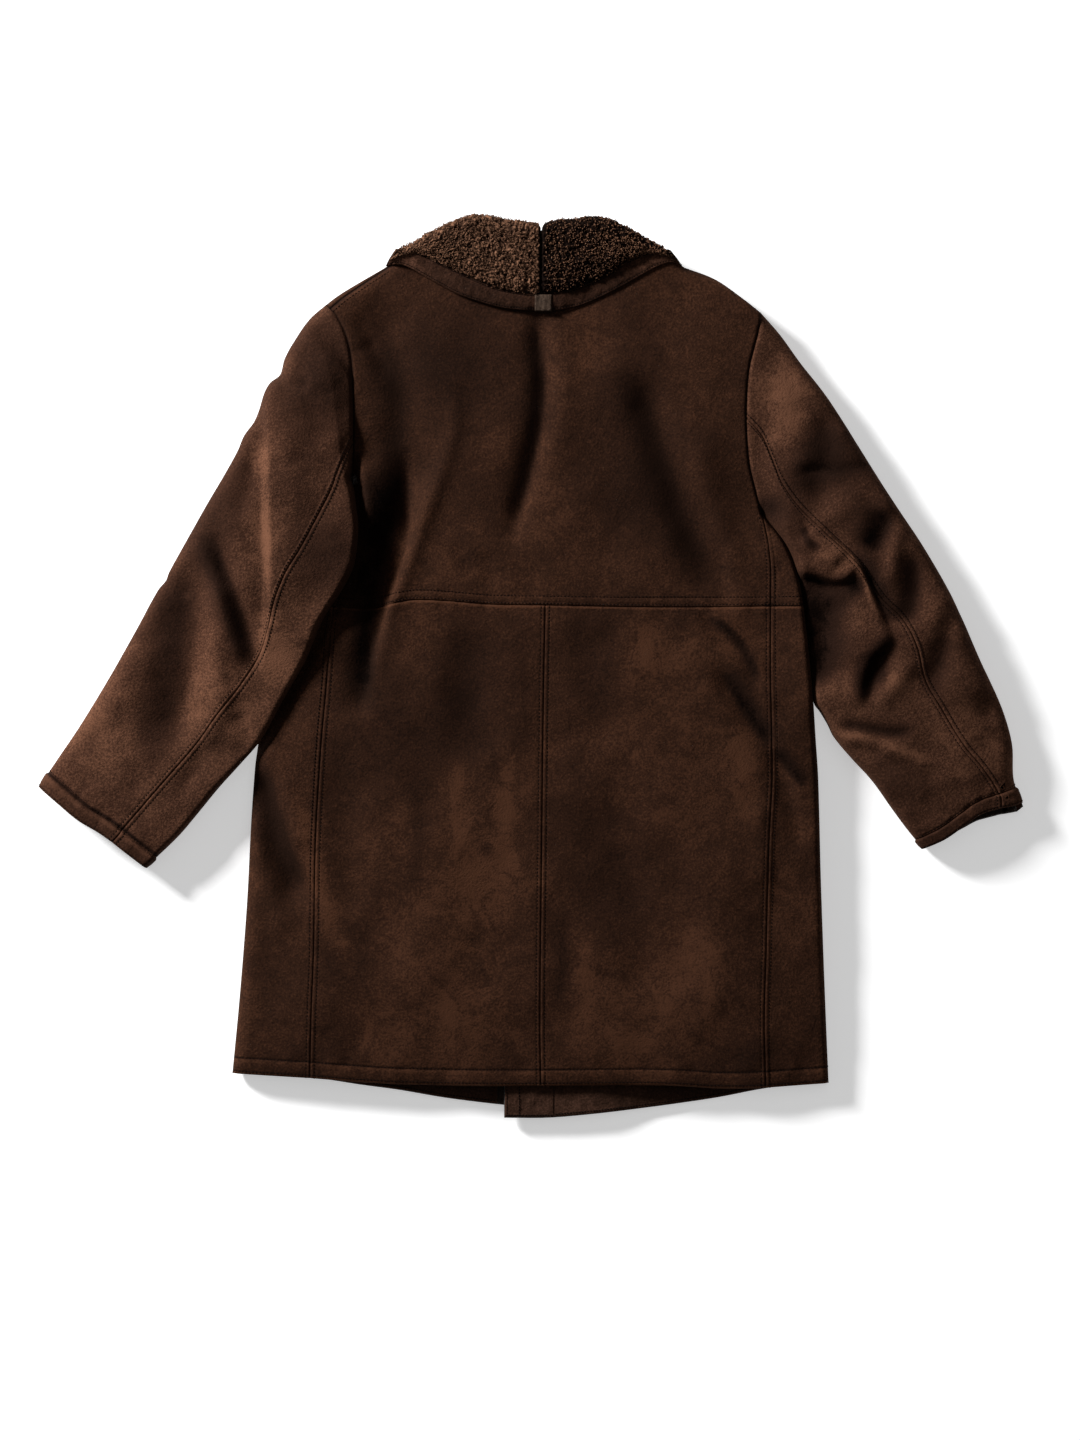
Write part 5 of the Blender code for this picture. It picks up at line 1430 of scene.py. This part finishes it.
def collar_band(leaf):
    """One half of the band, padded, with its two rows of stitches."""
    panel = Panel("collar_band_" + leaf.name)
    f = np.linspace(0, 1, 150)
    edge, hem = leaf.edge.at(f), leaf.hem.at(f)
    wide = np.linalg.norm(edge - hem, axis=1)
    across = spaced(wide, AT_BAND, AT_BAND, 7).T
    plan = edge[None] + (hem - edge)[None] * across[..., None]
    under = back_top(plan) + SEWN_GAP
    off = np.minimum(across, 1 - across) * wide[None]
    crown = BAND_DEEP + 1.3 * ease(off / 7) - 2.2 * rolled(off, 2.4)
    crown *= 1 - 0.55 * ease((plan[..., 0] - 24) / 30)     # lies flatter on the right
    crown += 0.35 * ripple(plan, 13, 31) * ease(off / 4) - stitched(off, 2.4, wide=0.7)
    outer = placed(plan, under + crown)
    panel.lay((outer, placed(plan, under + 0.6 * rolled(off, 2.4))), leaf.side > 0)
    for row, step in ((BAND_ROW, 1), (-BAND_ROW - 1, -1)):
        thread_collar.follow(outer, (row,), step=step, pitch=BAND_PITCH)
    return panel


# its light shade is what the painted highlight at the band's ends reaches
BAND_SUEDE = suede("band_suede", (0.014, 0.0065, 0.0042), (0.029, 0.013, 0.0078),
                   (0.08, 0.036, 0.022), -0.08)
bands = [collar_band(leaf) for leaf in LEAVES]
stitching = thread_collar.build("thread_collar", THREAD)
for panel in bands:
    dress(panel.sew([BAND_SUEDE, SUEDE, BAND_SUEDE], band_painted_light), panel.node,
          ["suede_back_upper"],
          [stitching] if "left" in panel.node else [])

# ------------------------------------------------------------
# Collar tab. A small plain piece of dark leather wrapped round the middle of the
# band, rubbed and slightly cracked.
TAB = (5.0, 23.8, 398.8, 418.0)     # left, right, low and high edge
AT_TAB = (0, 0.3, 0.8, 1.5)


def tab_finish():
    """Thick brown leather, rubbed pale, with fine cracks."""
    hide = Finish("tab_leather", {"Specular IOR Level": 0.04})
    cracks = hide.cells(900, "DISTANCE_TO_EDGE").step(0.0, 0.12)
    rubbed = hide.noise(260, 4, 0.6)
    colour = hide.blend(rubbed.step(0.35, 0.75), (0.038, 0.023, 0.015, 1), (0.1, 0.066, 0.046, 1))
    colour = hide.blend(cracks, (0.02, 0.014, 0.011, 1), colour)
    hide.bumps((cracks, 0.0003, 0.7), (rubbed, 0.0008, 0.5))
    return hide.paint(colour, rubbed * 0.3 + 0.55)


def collar_tab():
    """The tab's outer side as it lies over the band."""
    panel = Panel("collar_tab")
    left, right, low, high = TAB
    xs = spaced(right - left, AT_TAB, AT_TAB, 14)
    ys = spaced(high - low, AT_TAB, AT_TAB, 12)
    x, y = np.meshgrid(left + (right - left) * xs, low + (high - low) * ys)
    plan = np.stack([x, y], -1)
    to_side, to_end = np.minimum(x - left, right - x), np.minimum(y - low, high - y)
    base = back_top(plan) + SEWN_GAP + BAND_DEEP + 1.5 - 2.0 * rolled(to_end, 3)
    thick = 1.7 - 0.9 * rolled(np.minimum(to_side, to_end), 1.5) + 0.25 * ripple(plan, 7, 41)
    panel.lay((placed(plan, base + thick), placed(plan, base)))
    return panel


TAB_LEATHER = tab_finish()
tab = collar_tab()
dress(tab.sew([TAB_LEATHER] * 3), "collar_tab",
      ["suede_collar_band_left", "suede_collar_band_right"])

# ------------------------------------------------------------
# Inside of the fronts below the back hem: a suede facing along the right front edge
# and the fronts' turned-up hems, each a thin strip sewn on the wool side.
FACING = (-29.0, 26.5, -513.5, 300.0)    # left, right, low and high edge
AT_FACING_EDGE = (0, 0.5, 1.2, 2.2, 3.4)
AT_FACING_END = (0, 0.5, 1.2, 2, 3, 5, 8, 11, 14, 17, 20, 24, 28, 32, 36, 40, 50)
IN_HEM_TURN = (0, 0.5, 1.2, 2, 3, 4.5, 7, 10, 14, 19, 25, 31, 36, 38)
STRIP = 1.6                # thickness of a strip
STRIP_GAP = 0.4            # between a strip and the front's wool
FACING_SUEDE = suede("facing_suede", (0.016, 0.0078, 0.0052), (0.03, 0.0145, 0.0092),
                     (0.06, 0.029, 0.019), 0.1)
thread_inside = Thread()


def strip_panel(node, plan, base, relief):
    """A strip on the wool side of a front that lies at that height."""
    panel = Panel(node)
    base = base + SKIN + STRIP_GAP
    return panel, panel.lay((placed(plan, base + STRIP + relief), placed(plan, base)))


def facing():
    """The right front's facing, mitred at its lower corner."""
    left, right, low, high = FACING
    xs = left + (right - left) * spaced(right - left, AT_FACING_EDGE, AT_JOIN[:8], 12)
    ys = low + (high - low) * spaced(high - low, AT_FACING_END, AT_PLAIN, 24)
    x, y = np.meshgrid(xs, ys)
    plan = np.stack([x, y], -1)
    mitre = Line([(-19, -509), (20, -494)])
    off = np.minimum(x - left, y - low)
    relief = -1.0 * rolled(off, 2.2) - 0.9 * bell(mitre.off(plan), 1.2)
    relief += 0.5 * ripple(plan, 12, 51) * ease(off / 4) - 0.5 * rolled(right - x, 1.5)
    panel, skin = strip_panel("facing_right", plan, front_lift(plan), relief)
    middle = int(np.argmin(np.abs(xs + 13)))
    thread_inside.follow(skin[:16], cols=(middle,), pitch=3.2)
    thread_inside.follow(skin[:24], cols=(3,), pitch=3.2)
    thread_inside.follow(skin, (3,), pitch=3.2)
    return panel


def hem_turn(half, start, end, low):
    """A front's turned-up hem, from start to end across the coat."""
    xs = np.linspace(start, end, 90)
    ys = np.interp(xs, half.hem_low[:, 0], half.hem_low[:, 1]) + 1.2
    deep = np.array(IN_HEM_TURN)[:, None]
    plan = np.stack([xs + 0 * deep, ys + deep], -1)
    bulge = 1.3 * bell(plan[..., 0] - 100, 45) if start > 0 else 0.0
    relief = 0.45 * ripple(plan, 14, 53) * ease(deep / 4) - rolled(deep, 2.2)
    panel, skin = strip_panel("hem_turn_" + half.name, plan, low(plan) + bulge, relief)
    thread_inside.follow(skin, (4,), pitch=3.3)
    return panel


strips = [facing(), hem_turn(RIGHT, 27.2, 314, front_lift),
          hem_turn(LEFT, -314, -38, lambda xy: np.zeros(xy.shape[:-1]))]
stitching = thread_inside.build("thread_inside", THREAD)
for panel, flat, area in zip(strips, ((0.057, 0.815), (0.29, 0.04), (0.28, 0.04)),
                             (0.0462, 0.0114, 0.0108)):
    side = "left" if "left" in panel.node else "right"
    dress(panel.sew([FACING_SUEDE] * 3), panel.node,
          ["suede_front_lower_" + side], [stitching] if "facing" in panel.node else [])

# ------------------------------------------------------------
# Studio: a pale floor, one soft key light from the upper left and a weak fill,
# camera straight above.
CAMERA_HEIGHT = 4.5
VIEW_LENGTH = 1.6416       # metres of floor in view along the coat
CAMERA_AT = (0.0108, -0.0627)


def floor_finish():
    """Matt white paper, evenly lit."""
    pale = Finish("pale_floor", {"Specular IOR Level": 0.0, "Emission Color": (1, 1, 1, 1),
                                 "Emission Strength": 0.45})
    soft = pale.noise(3, 2)
    colour = pale.blend(soft, (0.86, 0.86, 0.86, 1), (0.88, 0.88, 0.88, 1))
    return pale.paint(colour, soft * 0.1 + 0.8)


corners = np.array([(-6000, -6000, -0.4), (6000, -6000, -0.4), (6000, 6000, -0.4),
                    (-6000, 6000, -0.4)])
smooth_mesh("floor", corners, [(0, 1, 2, 3)], [floor_finish()])


def lamp(name, turn, climb, distance, size, watts):
    """A square soft light that looks at the coat's middle; angles in degrees."""
    light = bpy.data.lights.new(name, "AREA")
    light.shape, light.size, light.energy = "SQUARE", size, watts
    obj = add(name, light)
    a, e = math.radians(turn), math.radians(climb)
    obj.location = (distance * math.cos(e) * math.cos(a), distance * math.cos(e) * math.sin(a),
                    distance * math.sin(e))
    obj.rotation_euler = (math.pi / 2 - e, 0, a + math.pi / 2)


lamp("key_light", turn=143, climb=24, distance=4.2, size=0.9, watts=420)
lamp("fill_light", turn=60, climb=70, distance=4.0, size=3.0, watts=12)
world = bpy.data.worlds.new("studio")
world.use_nodes = True
for socket, value in (("Color", (1, 1, 1, 1)), ("Strength", 0.1)):
    world.node_tree.nodes["Background"].inputs[socket].default_value = value
bpy.context.scene.world = world
bpy.context.scene.view_settings.view_transform = "Standard"

camera = add("camera", bpy.data.cameras.new("camera"))
camera.data.sensor_width = 36.0
camera.data.lens = 36.0 * CAMERA_HEIGHT / VIEW_LENGTH
camera.location = (*CAMERA_AT, CAMERA_HEIGHT)
bpy.context.scene.camera = camera
